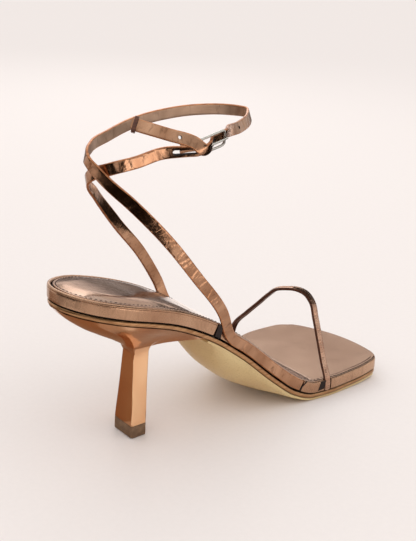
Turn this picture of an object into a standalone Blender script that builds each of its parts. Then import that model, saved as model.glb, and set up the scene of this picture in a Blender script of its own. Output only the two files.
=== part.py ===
# Strappy heeled sandal, the right shoe of a pair, standing empty on its sole.
# Metres. +Y points to the toe, +X to the outer (lateral) side, +Z up.
# The origin is on the floor, under the middle of the whole shoe.

import bpy
import bmesh
import math
from mathutils import Matrix, Vector

MM = 0.001

# Driving dimensions of the last and the sole
SHOE_LENGTH = 225 * MM
PITCH_RISE = 84.5 * MM
TOE_SPRING = 2.5 * MM
SEAT_WIDTH = 53 * MM
WAIST_WIDTH = 48 * MM
BALL_WIDTH = 78 * MM
TOE_WIDTH = 64 * MM
SEAT_ROUND = 36 * MM
TOE_CORNER = 6 * MM
TOE_CROWN = 5.8 * MM
TOE_TRIM = 2 * MM
TOE_FOREMOST = 15 * MM

# Layers of the sole, from the floor up
OUTSOLE_THICK = 1.3 * MM
RAND_THICK = 2.8 * MM
FOOTBED_THICK = 7.4 * MM
SOCK_THICK = 1.0 * MM
HEEL_PAD_CROWN = 1.6 * MM
HEEL_PAD_LENGTH = 78 * MM
RIM_WIDTH = 2.2 * MM
RIM_RECESS = 0.9 * MM
EDGE_ROUND = 1.0 * MM
OUTSOLE_INSET = 0.8 * MM
SHANK_DOME = 17 * MM
RAND_INSET = 0.3 * MM
GAP = 0.3 * MM

# Heel block and its top piece
TIP_WIDTH = 17 * MM
TIP_DEPTH = 10.2 * MM
STEM_WIDTH = 11.5 * MM
STEM_DEPTH = 10.0 * MM
STEM_CHAMFER = 0.7 * MM
TOP_PIECE_HEIGHT = 7.5 * MM
STEM_HEIGHT = 50 * MM
HEEL_SET_IN = 49 * MM
HEEL_SET_OUT = 2.5 * MM
HEEL_LEAN = 2.5 * MM
BREAST_AT = 88 * MM
HEEL_INSET = 0.9 * MM

# Ankle straps
STRAP_WIDTH = 6.5 * MM
STRAP_THICK = 1.5 * MM
BAND_FRONT = 148 * MM
OUTER_BAND_BACK = 90 * MM
INNER_BAND_BACK = 80 * MM
STRAP_LEAVES = 13.5 * MM
LOOP_WIDTH = 54 * MM
LOOP_DEPTH = 112 * MM
LOOP_BACK = 20 * MM
LOOP_RISE = 75 * MM

# Toe strap
TOE_STRAP_WIDTH = 4.4 * MM
TOE_STRAP_THICK = 1.8 * MM
TOE_STRAP_OUTER_AT = 172 * MM
TOE_STRAP_INNER_AT = 157 * MM
TOE_STRAP_RISE = 50 * MM

# Buckle, tongue and keeper
WIRE = 1.4 * MM
TONGUE_WIRE = 1.2 * MM
BUCKLE_LENGTH = 18 * MM
BUCKLE_WIDTH = 10.6 * MM
BUCKLE_CORNER = 1.8 * MM
FOLD_TURN = 25
SLOT_LENGTH = 15 * MM
SLOT_WIDTH = 2.8 * MM
TONGUE_HOLE = 7.0 * MM
TONGUE_SIDE_GAP = 0.45 * MM
TONGUE_REACH = 1.0 * MM
FOLD_BACK = 9 * MM
KEEPER_LENGTH = 2.0 * MM
KEEPER_THICK = 0.7 * MM
KEEPER_FROM_END = 0.9 * MM

STACK = OUTSOLE_THICK + GAP + RAND_THICK + GAP + FOOTBED_THICK
RAND_TOP = FOOTBED_THICK + GAP
RAND_BOTTOM = RAND_TOP + RAND_THICK
OUTSOLE_TOP = RAND_BOTTOM + GAP
RECESS_DEPTH = STRAP_THICK + GAP
TOE_NOTCH_DEPTH = TOE_STRAP_THICK + GAP
STEP_SLANT = 0.15 * MM

# Outline of the sole seen from above. Columns: place as a share of the shoe's length, the named
# width that the row follows, the share of that width, and the part of it on the outer side.
PLAN = (
    (0.00, SEAT_WIDTH, 1.00, 0.52),
    (0.18, SEAT_WIDTH, 1.03, 0.52),
    (0.30, SEAT_WIDTH, 0.97, 0.53),
    (0.42, WAIST_WIDTH, 1.00, 0.55),
    (0.52, WAIST_WIDTH, 1.06, 0.56),
    (0.62, BALL_WIDTH, 0.80, 0.53),
    (0.72, BALL_WIDTH, 0.96, 0.50),
    (0.80, BALL_WIDTH, 1.03, 0.49),
    (0.89, BALL_WIDTH, 1.00, 0.503),
    (0.96, TOE_WIDTH, 1.11, 0.535),
    (1.00, TOE_WIDTH, 1.047, 0.537),
)

# Side profile of the footbed's top. Columns: place as a share of the shoe's length, height as a
# share of the pitch rise, and height as a share of the toe spring.
PROFILE = (
    (0.00, 1.000, 0.0),
    (0.13, 0.914, 0.0),
    (0.27, 0.796, 0.0),
    (0.40, 0.624, 0.0),
    (0.51, 0.418, 0.0),
    (0.62, 0.162, 0.0),
    (0.68, 0.045, 0.0),
    (0.73, 0.000, 0.0),
    (0.79, 0.000, 0.0),
    (0.88, 0.000, 0.20),
    (1.00, 0.000, 1.0),
)

# Domed underside of the waist. Columns: place as a share of the shoe's length, and depth as a
# share of the shank's dome.
UNDERSIDE = (
    (0.00, 0.0),
    (0.40, 0.0),
    (0.44, 0.70),
    (0.48, 0.97),
    (0.52, 1.00),
    (0.62, 0.56),
    (0.68, 0.13),
    (0.72, 0.0),
    (1.00, 0.0),
)

# Flare of the heel block from its stem to the seat, fuller towards the back. Columns: share of the
# height between them, share of the way out to the seat's edge at the breast, and at the back.
HEEL_FLARE = (
    (0.00, 0.00, 0.00),
    (0.16, 0.03, 0.10),
    (0.32, 0.10, 0.28),
    (0.50, 0.24, 0.52),
    (0.68, 0.45, 0.74),
    (0.84, 0.72, 0.89),
    (1.00, 1.00, 1.00),
)

# Route of the outer ankle strap once it has left the footbed. Columns: across as a share of half
# the loop's width, along as a share of its depth from its back, up as a share of its rise above
# the seat, and the way its outer face looks (across, along, up).
OUTER_ROUTE = (
    (0.98, 0.647, -0.340, 1.00, -0.05, 0.05),
    (0.95, 0.48, -0.020, 1.00, -0.15, 0.10),
    (0.80, 0.31, 0.300, 1.00, -0.45, 0.15),
    (0.55, 0.155, 0.560, 0.90, -0.75, 0.10),
    (0.28, 0.035, 0.750, 0.50, -1.00, 0.00),
    (0.02, -0.005, 0.860, -0.10, -1.00, 0.00),
    (-0.28, 0.065, 0.905, -0.70, -0.85, 0.00),
    (-0.62, 0.215, 0.935, -1.00, -0.40, 0.00),
    (-0.90, 0.40, 0.970, -1.00, -0.12, 0.05),
    (-1.00, 0.60, 1.000, -1.00, 0.05, 0.10),
    (-0.90, 0.80, 1.015, -1.00, 0.40, 0.15),
    (-0.62, 0.95, 1.015, -0.60, 0.90, 0.20),
    (-0.30, 1.00, 1.010, 0.00, 1.00, 0.30),
    (0.04, 0.94, 0.995, 0.60, 0.85, 0.40),
    (0.40, 0.80, 0.975, 0.80, 0.60, 0.40),
    (0.62, 0.69, 0.985, 0.90, 0.45, 0.20),
    (0.83, 0.63, 1.000, 0.95, 0.20, -0.05),
)

# Route of the inner ankle strap, with the same columns.
INNER_ROUTE = (
    (-0.83, 0.571, -0.275, -1.00, -0.05, 0.05),
    (-0.82, 0.46, -0.020, -1.00, -0.10, 0.10),
    (-0.68, 0.28, 0.280, -1.00, -0.40, 0.15),
    (-0.42, 0.12, 0.550, -0.80, -0.80, 0.10),
    (-0.14, 0.030, 0.710, -0.30, -1.00, 0.05),
    (0.05, 0.035, 0.760, 0.10, -1.00, 0.00),
    (0.27, 0.049, 0.791, 0.45, -0.90, 0.00),
    (0.48, 0.074, 0.825, 0.85, -0.70, 0.00),
    (0.63, 0.152, 0.856, 0.98, -0.35, 0.00),
    (0.74, 0.286, 0.904, 1.00, -0.30, -0.05),
)

# Route of the free tail behind the buckle, with the same columns.
TAIL_ROUTE = (
    (1.06, 0.395, 0.985, 0.95, -0.25, 0.00),
    (0.86, 0.290, 1.038, 0.85, -0.50, 0.10),
    (0.38, 0.170, 1.095, 0.80, -0.60, 0.10),
)

# Arch of the toe strap. Columns: across as a share of half the ball width, and up as a share of
# the strap's rise.
TOE_ARCH = (
    (0.865, 0.22),
    (0.775, 0.45),
    (0.655, 0.74),
    (0.565, 0.93),
    (0.45, 1.01),
    (0.30, 1.03),
    (0.10, 1.00),
    (-0.08, 0.945),
    (-0.25, 0.82),
    (-0.42, 0.67),
    (-0.63, 0.49),
    (-0.84, 0.29),
)

# Place of the buckle on the ankle loop: its middle as shares of half the loop's width, of the
# loop's depth and of its rise, the way it points and the way its outer face looks.
BUCKLE_PLACE = (1.03, 0.503, 0.963)
BUCKLE_POINTS = (0.06, 0.965, 0.25)
BUCKLE_FACES = (0.92, -0.05, -0.30)


def clear_scene():
    for thing in list(bpy.data.objects):
        bpy.data.objects.remove(thing, do_unlink=True)


def material(name, colour, roughness, metallic):
    made = bpy.data.materials.new(name)
    made.use_nodes = True
    shader = made.node_tree.nodes["Principled BSDF"]
    shader.inputs["Base Color"].default_value = (*colour, 1.0)
    shader.inputs["Roughness"].default_value = roughness
    shader.inputs["Metallic"].default_value = metallic
    return made


def slopes(places, values):
    """Slope at each row, flat wherever the values turn, so nothing overshoots."""
    steps = [(values[i + 1] - values[i]) / (places[i + 1] - places[i]) for i in range(len(places) - 1)]
    inner = []
    for before, after in zip(steps, steps[1:]):
        turns = before * after <= 0.0
        inner.append(0.0 if turns else 2.0 * before * after / (before + after))
    return [steps[0]] + inner + [steps[-1]]


def read_rows(places, values, place):
    """Smooth value between the rows of a table."""
    tangents = slopes(places, values)
    last = len(places) - 2
    i = max(k for k in range(last + 1) if k == 0 or places[k] <= place)
    span = places[i + 1] - places[i]
    t = (place - places[i]) / span
    start = (2 * t ** 3 - 3 * t ** 2 + 1) * values[i] + (t ** 3 - 2 * t ** 2 + t) * span * tangents[i]
    end = (3 * t ** 2 - 2 * t ** 3) * values[i + 1] + (t ** 3 - t ** 2) * span * tangents[i + 1]
    return start + end


PLAN_PLACES = [row[0] for row in PLAN]
PLAN_OUTER = [row[1] * row[2] * row[3] for row in PLAN]
PLAN_INNER = [row[1] * row[2] * (1 - row[3]) for row in PLAN]
PROFILE_PLACES = [row[0] for row in PROFILE]
PROFILE_HEIGHTS = [STACK + row[1] * PITCH_RISE + row[2] * TOE_SPRING for row in PROFILE]
DOME_PLACES = [row[0] for row in UNDERSIDE]
DOME_DEPTHS = [row[1] * SHANK_DOME for row in UNDERSIDE]


def half_width(along, side):
    """Distance from the centre line to the edge; side is 1 for outer and -1 for inner."""
    width = read_rows(PLAN_PLACES, PLAN_OUTER if side > 0 else PLAN_INNER, along / SHOE_LENGTH)
    if along < SEAT_ROUND:
        turn = 1.0 - along / SEAT_ROUND
        width *= math.sqrt(max(1.0 - turn ** 2, 0.0))
    to_front = SHOE_LENGTH - along
    if to_front < TOE_CORNER:
        width -= TOE_CORNER - math.sqrt(max(TOE_CORNER ** 2 - (TOE_CORNER - to_front) ** 2, 0.0))
    return width


def top_height(along):
    share = min(max(along / SHOE_LENGTH, 0.0), 1.0)
    return read_rows(PROFILE_PLACES, PROFILE_HEIGHTS, share)


def on_sole(across, along, drop):
    """Point that lies a given drop under the footbed's top, square to its slope, upright at the heel."""
    step = 0.5 * MM
    back = min(max(along, 0.0), SHOE_LENGTH - step)
    rise = (top_height(back + step) - top_height(back)) / step
    stretch = math.hypot(1.0, rise)
    share = min(max(along / (SEAT_ROUND * 2), 0.0), 1.0)
    leans = share * share * (3 - 2 * share)
    lower = drop * (stretch + (1 / stretch - stretch) * leans)
    return Vector((across, along + drop * rise / stretch * leans, top_height(along) - lower))


def band_back(side):
    return OUTER_BAND_BACK if side > 0 else INNER_BAND_BACK


def toe_strap_at(side):
    return TOE_STRAP_OUTER_AT if side > 0 else TOE_STRAP_INNER_AT


def stations():
    """Places along the shoe where the outline has a point on each side."""
    heel_steps = 9
    heel = [SEAT_ROUND * (1 - math.cos(math.pi / 2 * k / heel_steps)) for k in range(heel_steps)]
    corner_steps = 4
    corner_from = SHOE_LENGTH - TOE_CORNER
    corner = [corner_from + TOE_CORNER * math.sin(math.pi / 2 * k / corner_steps) for k in range(corner_steps + 1)]
    middle_steps = 36
    reach = corner_from - SEAT_ROUND
    middle = [SEAT_ROUND + reach * k / middle_steps for k in range(middle_steps)]
    edges = []
    half_notch = TOE_STRAP_WIDTH / 2 + GAP
    for side in (1, -1):
        steps_at = (band_back(side), BAND_FRONT, toe_strap_at(side) - half_notch, toe_strap_at(side) + half_notch)
        for step_at in steps_at:
            edges += [step_at - STEP_SLANT, step_at + STEP_SLANT]
    kept = [place for place in middle if all(abs(place - edge) > 0.8 * MM for edge in edges)]
    return sorted(set(heel + kept + edges + corner))


STATIONS = stations()


def tuck(along, side):
    """How far the footbed's side steps in, where a strap lies against it."""
    depth = 0.0
    if band_back(side) < along < BAND_FRONT:
        depth = RECESS_DEPTH
    if abs(along - toe_strap_at(side)) < TOE_STRAP_WIDTH / 2 + GAP:
        depth = TOE_NOTCH_DEPTH
    return depth


def outline(tucked=False, back=0.0, front=SHOE_LENGTH):
    """Loop of (across, along): up the outer side, over the front edge, down the inner side."""
    places = [back] + [place for place in STATIONS if back < place < front] + [front]
    outer = []
    inner = []
    for place in places:
        for side, edge in ((1, outer), (-1, inner)):
            step_in = tuck(place, side) if tucked else 0.0
            edge.append((side * max(half_width(place, side) - step_in, 0.4 * MM), place))
    front_steps = 6
    right, left = outer[-1], inner[-1]
    edge = []
    for k in range(1, front_steps):
        share = k / front_steps
        edge.append((right[0] + (left[0] - right[0]) * share, front))
    loop = outer + edge + inner[::-1]
    return [(across, along + crown(across, along)) for across, along in loop]


def crown(across, along):
    """Curve of the toe's front edge, drawn back most on its inner side."""
    start = SHOE_LENGTH - 5 * TOE_CORNER
    share = max(along - start, 0.0) / (SHOE_LENGTH - start)
    offset = (across - TOE_FOREMOST) / (TOE_WIDTH / 2)
    return -share ** 2 * (TOE_TRIM + TOE_CROWN * offset ** 2)


def inset(point, distance, back=0.0, front=SHOE_LENGTH):
    """Move an outline point in towards the middle line of the shoe."""
    across, along = point
    centre_along = min(max(along, back + SEAT_ROUND), front - SEAT_ROUND)
    centre_across = (half_width(centre_along, 1) - half_width(centre_along, -1)) / 2
    toward = Vector((centre_across - across, centre_along - along))
    if toward.length <= distance:
        return (centre_across, centre_along)
    moved = Vector(point) + toward.normalized() * distance
    return (moved.x, moved.y)


def solid_from_loops(name, loops, paint):
    """Close a stack of equal loops into one body, its first and last loops filled across."""
    shape = bmesh.new()
    rings = [[shape.verts.new(point) for point in loop] for loop in loops]
    count = len(rings[0])
    for lower, upper in zip(rings, rings[1:]):
        for k in range(count):
            following = (k + 1) % count
            shape.faces.new((lower[k], lower[following], upper[following], upper[k]))
    for ring, flipped in ((rings[0], True), (rings[-1], False)):
        fill_across(shape, ring, flipped)
    bmesh.ops.recalc_face_normals(shape, faces=shape.faces)
    return finish(name, shape, paint)


def fill_across(shape, ring, flipped):
    """Fill a loop with strips between its two sides, so that it keeps the bend of the sole."""
    count = len(ring)
    k, m = 0, count - 1
    while k + 1 < m:
        corners = [ring[k], ring[k + 1], ring[m - 1], ring[m]]
        corners = [vert for i, vert in enumerate(corners) if vert not in corners[:i]]
        if flipped:
            corners.reverse()
        if len(corners) > 2:
            shape.faces.new(corners)
        k += 1
        m -= 1


def finish(name, shape, paint, sharp=35.0):
    mesh = bpy.data.meshes.new(name)
    shape.to_mesh(mesh)
    shape.free()
    mesh.shade_smooth()
    mesh.set_sharp_from_angle(angle=math.radians(sharp))
    mesh.materials.append(paint)
    made = bpy.data.objects.new(name, mesh)
    bpy.context.collection.objects.link(made)
    return made


def layer(name, steps, paint, tucked=False, back=0.0, front=SHOE_LENGTH):
    """Sole layer from rows of (drop, inset), listed from its underside to its top."""
    base = outline(tucked, back, front)
    loops = []
    for drop, distance in steps:
        ring = [inset(point, distance, back, front) for point in base]
        loops.append([on_sole(across, along, drop) for across, along in ring])
    return solid_from_loops(name, loops, paint)


def make_footbed(paint):
    """Wrapped insole board with a rounded rim and a shallow recess for the sock."""
    steps = (
        (FOOTBED_THICK, RAND_INSET),
        (FOOTBED_THICK - 0.5 * MM, 0.0),
        (EDGE_ROUND, 0.0),
        (EDGE_ROUND * 0.3, EDGE_ROUND * 0.3),
        (0.0, EDGE_ROUND),
        (0.0, RIM_WIDTH),
        (RIM_RECESS, RIM_WIDTH + 0.3 * MM),
    )
    return layer("footbed", steps, paint, tucked=True)


def make_sock(paint):
    """Sock sheet in the footbed's recess, raised into a pad under the heel."""
    lie = RIM_RECESS - GAP
    edge = RIM_WIDTH + 0.3 * MM + GAP + RECESS_DEPTH
    base = outline()
    shape_rows = ((0.0, 0.0, lie), (0.0, 0.0, lie - SOCK_THICK * 0.6), (0.4 * MM, 0.0, lie - SOCK_THICK))
    loops = []
    for extra, share, drop in shape_rows + pad_rows(lie):
        ring = [inset(point, edge + extra) for point in base]
        loops.append([on_sole(a, b, drop - share * pad_height(b)) for a, b in ring])
    return solid_from_loops("sock", loops, paint)


def pad_rows(lie):
    """Rows of the heel pad's dome: way in from the sock's edge, share of the pad's height, drop."""
    top = lie - SOCK_THICK
    return (
        (1.6 * MM, 0.0, top),
        (3.4 * MM, 0.45, top),
        (6.5 * MM, 0.80, top),
        (11.0 * MM, 1.0, top),
    )


def pad_height(along):
    """Height of the heel pad at one place along the shoe."""
    share = min(max(along / HEEL_PAD_LENGTH, 0.0), 1.0)
    return HEEL_PAD_CROWN * (1.0 - share ** 4)


def make_rand(paint):
    """Sole edge between the footbed and the outsole and heel."""
    steps = (
        (RAND_BOTTOM, RAND_INSET + 0.6 * MM),
        (RAND_BOTTOM - 0.6 * MM, RAND_INSET),
        (RAND_TOP + 0.4 * MM, RAND_INSET),
        (RAND_TOP, RAND_INSET + 0.4 * MM),
    )
    return layer("sole_edge", steps, paint)


def make_outsole(paint):
    """Thin bottom sole from the heel's breast to the toe, domed under the waist."""
    back = BREAST_AT + GAP
    base = outline(False, back)
    bottom = OUTSOLE_TOP + OUTSOLE_THICK
    loops = []
    for inward in (0.95, 0.75, 0.5, 0.28, 0.12, 0.04):
        dome = math.sqrt(1 - (1 - inward) ** 2)
        ring = []
        for point in base:
            across, along = shrink(inset(point, OUTSOLE_INSET, back), inward)
            ring.append(on_sole(across, along, bottom) - Vector((0.0, 0.0, dome * dome_depth(along))))
        loops.append(ring)
    for drop in (bottom, OUTSOLE_TOP):
        ring = [inset(point, OUTSOLE_INSET, back) for point in base]
        loops.append([on_sole(across, along, drop) for across, along in ring])
    return solid_from_loops("outsole", loops, paint)


def dome_depth(along):
    share = min(max(along / SHOE_LENGTH, 0.0), 1.0)
    return read_rows(DOME_PLACES, DOME_DEPTHS, share)


def shrink(point, share):
    """Move a point a share of the way in to the middle line, the toe's edge included."""
    across, along = point
    centre_along = min(along, SHOE_LENGTH - SEAT_ROUND)
    centre_across = (half_width(centre_along, 1) - half_width(centre_along, -1)) / 2
    return (across + (centre_across - across) * share, along + (centre_along - along) * share)


def block_ring(width, depth, chamfer, along, height, turns):
    """Chamfered rectangle read at the given turns about its middle."""
    ring = []
    for turn in turns:
        way = Vector((math.sin(turn), -math.cos(turn)))
        reach = min(
            width / 2 / max(abs(way.x), 1e-6),
            depth / 2 / max(abs(way.y), 1e-6),
            (width / 2 + depth / 2 - chamfer) / (abs(way.x) + abs(way.y)),
        )
        ring.append(Vector((HEEL_SET_OUT + way.x * reach, along + way.y * reach, height)))
    return ring


def block_turns():
    """Turns of a ring's points: the corners of the stem's chamfers and steps between them."""
    half_x, half_y = STEM_WIDTH / 2, STEM_DEPTH / 2
    corner_a = math.atan2(half_x - STEM_CHAMFER, half_y)
    corner_b = math.atan2(half_x, half_y - STEM_CHAMFER)
    quarter = [0.0, corner_a * 0.5, corner_a, corner_b, (corner_b + math.pi / 2) / 2, math.pi / 2]
    half = quarter + [math.pi - turn for turn in quarter[-2:0:-1]] + [math.pi]
    return half + [2 * math.pi - turn for turn in half[-2:0:-1]]


def seat_ring(turns):
    """Edge of the heel block under the seat, read at the same turns about the stem."""
    drop = RAND_BOTTOM + GAP
    ring = []
    for turn in turns:
        way = Vector((math.sin(turn), -math.cos(turn)))
        reach = 0.0
        while inside_seat(way * (reach + 0.25 * MM)):
            reach += 0.25 * MM
        across, along = HEEL_SET_OUT + way.x * reach, HEEL_SET_IN + way.y * reach
        ring.append(on_sole(across, along, drop))
    return ring


def inside_seat(offset):
    across, along = HEEL_SET_OUT + offset.x, HEEL_SET_IN + offset.y
    if not HEEL_INSET + 0.4 * MM < along < BREAST_AT:
        return False
    side = 1 if across >= 0 else -1
    return abs(across) < half_width(along, side) - HEEL_INSET


def make_heel(paint):
    """Slim block heel: a chamfered stem that flares into a bowl under the whole seat."""
    turns = block_turns()
    foot = TOP_PIECE_HEIGHT + GAP
    lower = block_ring(TIP_WIDTH, TIP_DEPTH, STEM_CHAMFER, HEEL_SET_IN, foot, turns)
    middle_height = foot + (STEM_HEIGHT - foot) * 0.55
    middle_width = STEM_WIDTH + (TIP_WIDTH - STEM_WIDTH) * 0.35
    halfway = HEEL_SET_IN + HEEL_LEAN / 2
    middle = block_ring(middle_width, STEM_DEPTH, STEM_CHAMFER, halfway, middle_height, turns)
    stem = block_ring(STEM_WIDTH, STEM_DEPTH, STEM_CHAMFER, HEEL_SET_IN + HEEL_LEAN, STEM_HEIGHT, turns)
    seat = seat_ring(turns)
    loops = [lower, middle]
    for height_share, out_front, out_back in HEEL_FLARE:
        ring = []
        for turn, low, high in zip(turns, stem, seat):
            backward = (1 + math.cos(turn)) / 2
            flat = low.lerp(high, out_front + (out_back - out_front) * backward)
            ring.append(Vector((flat.x, flat.y, low.z + (high.z - low.z) * height_share)))
        loops.append(ring)
    return heel_solid(loops, paint)


def heel_solid(loops, paint):
    """Close the heel's rings, its top following the bend of the sole."""
    shape = bmesh.new()
    rings = [[shape.verts.new(point) for point in loop] for loop in loops]
    count = len(rings[0])
    for lower, upper in zip(rings, rings[1:]):
        for k in range(count):
            following = (k + 1) % count
            shape.faces.new((lower[k], lower[following], upper[following], upper[k]))
    shape.faces.new(rings[0][::-1])
    drop = RAND_BOTTOM + GAP
    previous = rings[-1]
    for share in (0.66, 0.33):
        ring = []
        for vert in rings[-1]:
            across = HEEL_SET_OUT + (vert.co.x - HEEL_SET_OUT) * share
            along = HEEL_SET_IN + (vert.co.y - HEEL_SET_IN) * share
            ring.append(shape.verts.new(on_sole(across, along, drop)))
        for k in range(count):
            following = (k + 1) % count
            shape.faces.new((previous[k], previous[following], ring[following], ring[k]))
        previous = ring
    centre = shape.verts.new(on_sole(HEEL_SET_OUT, HEEL_SET_IN, drop))
    for k in range(count):
        shape.faces.new((previous[k], previous[(k + 1) % count], centre))
    bmesh.ops.recalc_face_normals(shape, faces=shape.faces)
    return finish("heel", shape, paint)


def make_top_piece(paint):
    """Rubber top piece that the heel stands on."""
    turns = block_turns()
    shape = bmesh.new()
    rings = []
    for height in (0.0, TOP_PIECE_HEIGHT):
        points = block_ring(TIP_WIDTH, TIP_DEPTH, STEM_CHAMFER, HEEL_SET_IN, height, turns)
        rings.append([shape.verts.new(point) for point in points])
    count = len(turns)
    for k in range(count):
        following = (k + 1) % count
        shape.faces.new((rings[0][k], rings[0][following], rings[1][following], rings[1][k]))
    shape.faces.new(rings[0][::-1])
    shape.faces.new(rings[1])
    bmesh.ops.recalc_face_normals(shape, faces=shape.faces)
    return finish("heel_top_piece", shape, paint)


def smooth_route(points, looks, spacing):
    """Smooth curve through the given points, with the look at each place between their looks."""
    chords = [(after - before).length for before, after in zip(points, points[1:])]
    steps = [(after - before) / chord for before, after, chord in zip(points, points[1:], chords)]
    ways_at = [steps[0]]
    for before, after, back, front in zip(steps, steps[1:], chords, chords[1:]):
        ways_at.append((before * front + after * back) / (back + front))
    ways_at.append(steps[-1])
    route = []
    ways = []
    for i, chord in enumerate(chords):
        parts = max(2, round(chord / spacing))
        for k in range(parts):
            t = k / parts
            ease = t * t * (3 - 2 * t)
            bend = ways_at[i] * (t ** 3 - 2 * t ** 2 + t) + ways_at[i + 1] * (t ** 3 - t ** 2)
            route.append(points[i].lerp(points[i + 1], ease) + bend * chord)
            ways.append(looks[i].normalized().lerp(looks[i + 1].normalized(), ease))
    route.append(points[-1].copy())
    ways.append(looks[-1].normalized())
    return route, ways


def ribbon(name, points, faces_out, width, thick, paint, spacing=5 * MM, corner=0.35 * MM, ridge=0.0):
    """Flat strap along a route, its outer face looking the way given at each point."""
    route, looks = smooth_route(points, faces_out, spacing)
    shape = bmesh.new()
    rings = []
    for k, place in enumerate(route):
        ahead = route[min(k + 1, len(route) - 1)] - route[max(k - 1, 0)]
        ahead.normalize()
        out = looks[k] - ahead * looks[k].dot(ahead)
        out.normalize()
        up = out.cross(ahead)
        half_w, half_t = width / 2, thick / 2
        section = (
            (half_w, -half_t + corner), (half_w, half_t - corner), (half_w - corner, half_t),
            (0.0, half_t + ridge), (-half_w + corner, half_t), (-half_w, half_t - corner),
            (-half_w, -half_t + corner), (-half_w + corner, -half_t), (half_w - corner, -half_t),
        )
        rings.append([shape.verts.new(place + up * u + out * n) for u, n in section])
    count = len(rings[0])
    for first, second in zip(rings, rings[1:]):
        for k in range(count):
            following = (k + 1) % count
            shape.faces.new((first[k], first[following], second[following], second[k]))
    shape.faces.new(rings[0][::-1])
    shape.faces.new(rings[-1])
    bmesh.ops.recalc_face_normals(shape, faces=shape.faces)
    return finish(name, shape, paint)


def loop_point(row):
    """Point on the ankle loop from a row's first three shares."""
    seat_top = top_height(0.0)
    return Vector((
        row[0] * LOOP_WIDTH / 2,
        LOOP_BACK + row[1] * LOOP_DEPTH,
        seat_top + row[2] * LOOP_RISE,
    ))


def band_points(side):
    """Start of an ankle strap: flat against the footbed's side, below its top edge."""
    middle = FOOTBED_THICK / 2
    start = BAND_FRONT - 1.0 * MM
    leave = band_back(side) + STRAP_LEAVES
    points = []
    steps = 5
    for k in range(steps + 1):
        along = start + (leave - start) * k / steps
        across = side * (half_width(along, side) - STRAP_THICK / 2)
        points.append(on_sole(across, along, middle))
    return points


def buckle_axes():
    """The buckle's middle, the way it points, the way its width runs and the way it faces."""
    points = Vector(BUCKLE_POINTS).normalized()
    faces = Vector(BUCKLE_FACES)
    faces = (faces - points * faces.dot(points)).normalized()
    return loop_point(BUCKLE_PLACE), points, faces.cross(points), faces


def at_buckle(ahead, up, out):
    """Point given in the buckle's own directions."""
    middle, along, across, faces = buckle_axes()
    return middle + along * ahead + across * up + faces * out


def half_frame():
    return (BUCKLE_LENGTH - WIRE) / 2


def at_fold(ahead, up, out):
    """Point near the frame's rear bar, where the short strap comes in turned about that bar."""
    turn = math.radians(FOLD_TURN)
    along = ahead * math.cos(turn) - out * math.sin(turn)
    return at_buckle(along - half_frame(), up, ahead * math.sin(turn) + out * math.cos(turn))


UNDER_BAR = -(WIRE / 2 + GAP + STRAP_THICK / 2)
FOLD_RADIUS = WIRE / 2 + GAP + STRAP_THICK / 2
OVER_FOLD = FOLD_RADIUS + STRAP_THICK + GAP
TONGUE_LIFT = WIRE / 2 + GAP + TONGUE_WIRE / 2


def outer_strap_rows():
    """Route and looks of the long strap, from the footbed round the ankle to its tail's end."""
    side = 1
    points = band_points(side)
    looks = [Vector((side, 0.0, 0.05))] * len(points)
    for row in OUTER_ROUTE:
        points.append(loop_point(row))
        looks.append(Vector(row[3:]))
    faces = buckle_axes()[3]
    reach = half_frame()
    rows = ((reach + 1.0 * MM, UNDER_BAR), (reach - 2.0 * MM, UNDER_BAR), (1.6 * MM, -0.9 * MM),
            (-2.4 * MM, 2.4 * MM), (-6.0 * MM, OVER_FOLD))
    for ahead, out in rows:
        points.append(at_buckle(ahead, 0.0, out))
        looks.append(faces)
    for row in TAIL_ROUTE:
        points.append(loop_point(row))
        looks.append(Vector(row[3:]))
    return points, looks


def inner_strap_rows():
    """Route and looks of the short strap, from the footbed to its fold round the buckle's bar."""
    side = -1
    points = band_points(side)
    looks = [Vector((side, 0.0, 0.05))] * len(points)
    for row in INNER_ROUTE:
        points.append(loop_point(row))
        looks.append(Vector(row[3:]))
    middle = at_fold(0.0, 0.0, 0.0)
    steps = [(-FOLD_BACK * 0.6, FOLD_RADIUS)]
    for turn in (90, 45, 0, -45, -90):
        angle = math.radians(turn)
        steps.append((FOLD_RADIUS * math.cos(angle), FOLD_RADIUS * math.sin(angle)))
    steps.append((-FOLD_BACK, -FOLD_RADIUS))
    for ahead, out in steps:
        points.append(at_fold(ahead, 0.0, out))
        looks.append(at_fold(max(ahead, 0.0), 0.0, out) - middle)
    return points, looks


def cutter(name, place, aheads, half_across, outs):
    """Box to cut with, in the directions of the given placing function."""
    shape = bmesh.new()
    verts = []
    for ahead in aheads:
        for up in (-half_across, half_across):
            for out in outs:
                verts.append(shape.verts.new(place(ahead, up, out)))
    for face in ((0, 1, 3, 2), (4, 6, 7, 5), (0, 4, 5, 1), (2, 3, 7, 6), (0, 2, 6, 4), (1, 5, 7, 3)):
        shape.faces.new([verts[k] for k in face])
    bmesh.ops.recalc_face_normals(shape, faces=shape.faces)
    mesh = bpy.data.meshes.new(name)
    shape.to_mesh(mesh)
    shape.free()
    made = bpy.data.objects.new(name, mesh)
    bpy.context.collection.objects.link(made)
    return made


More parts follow.
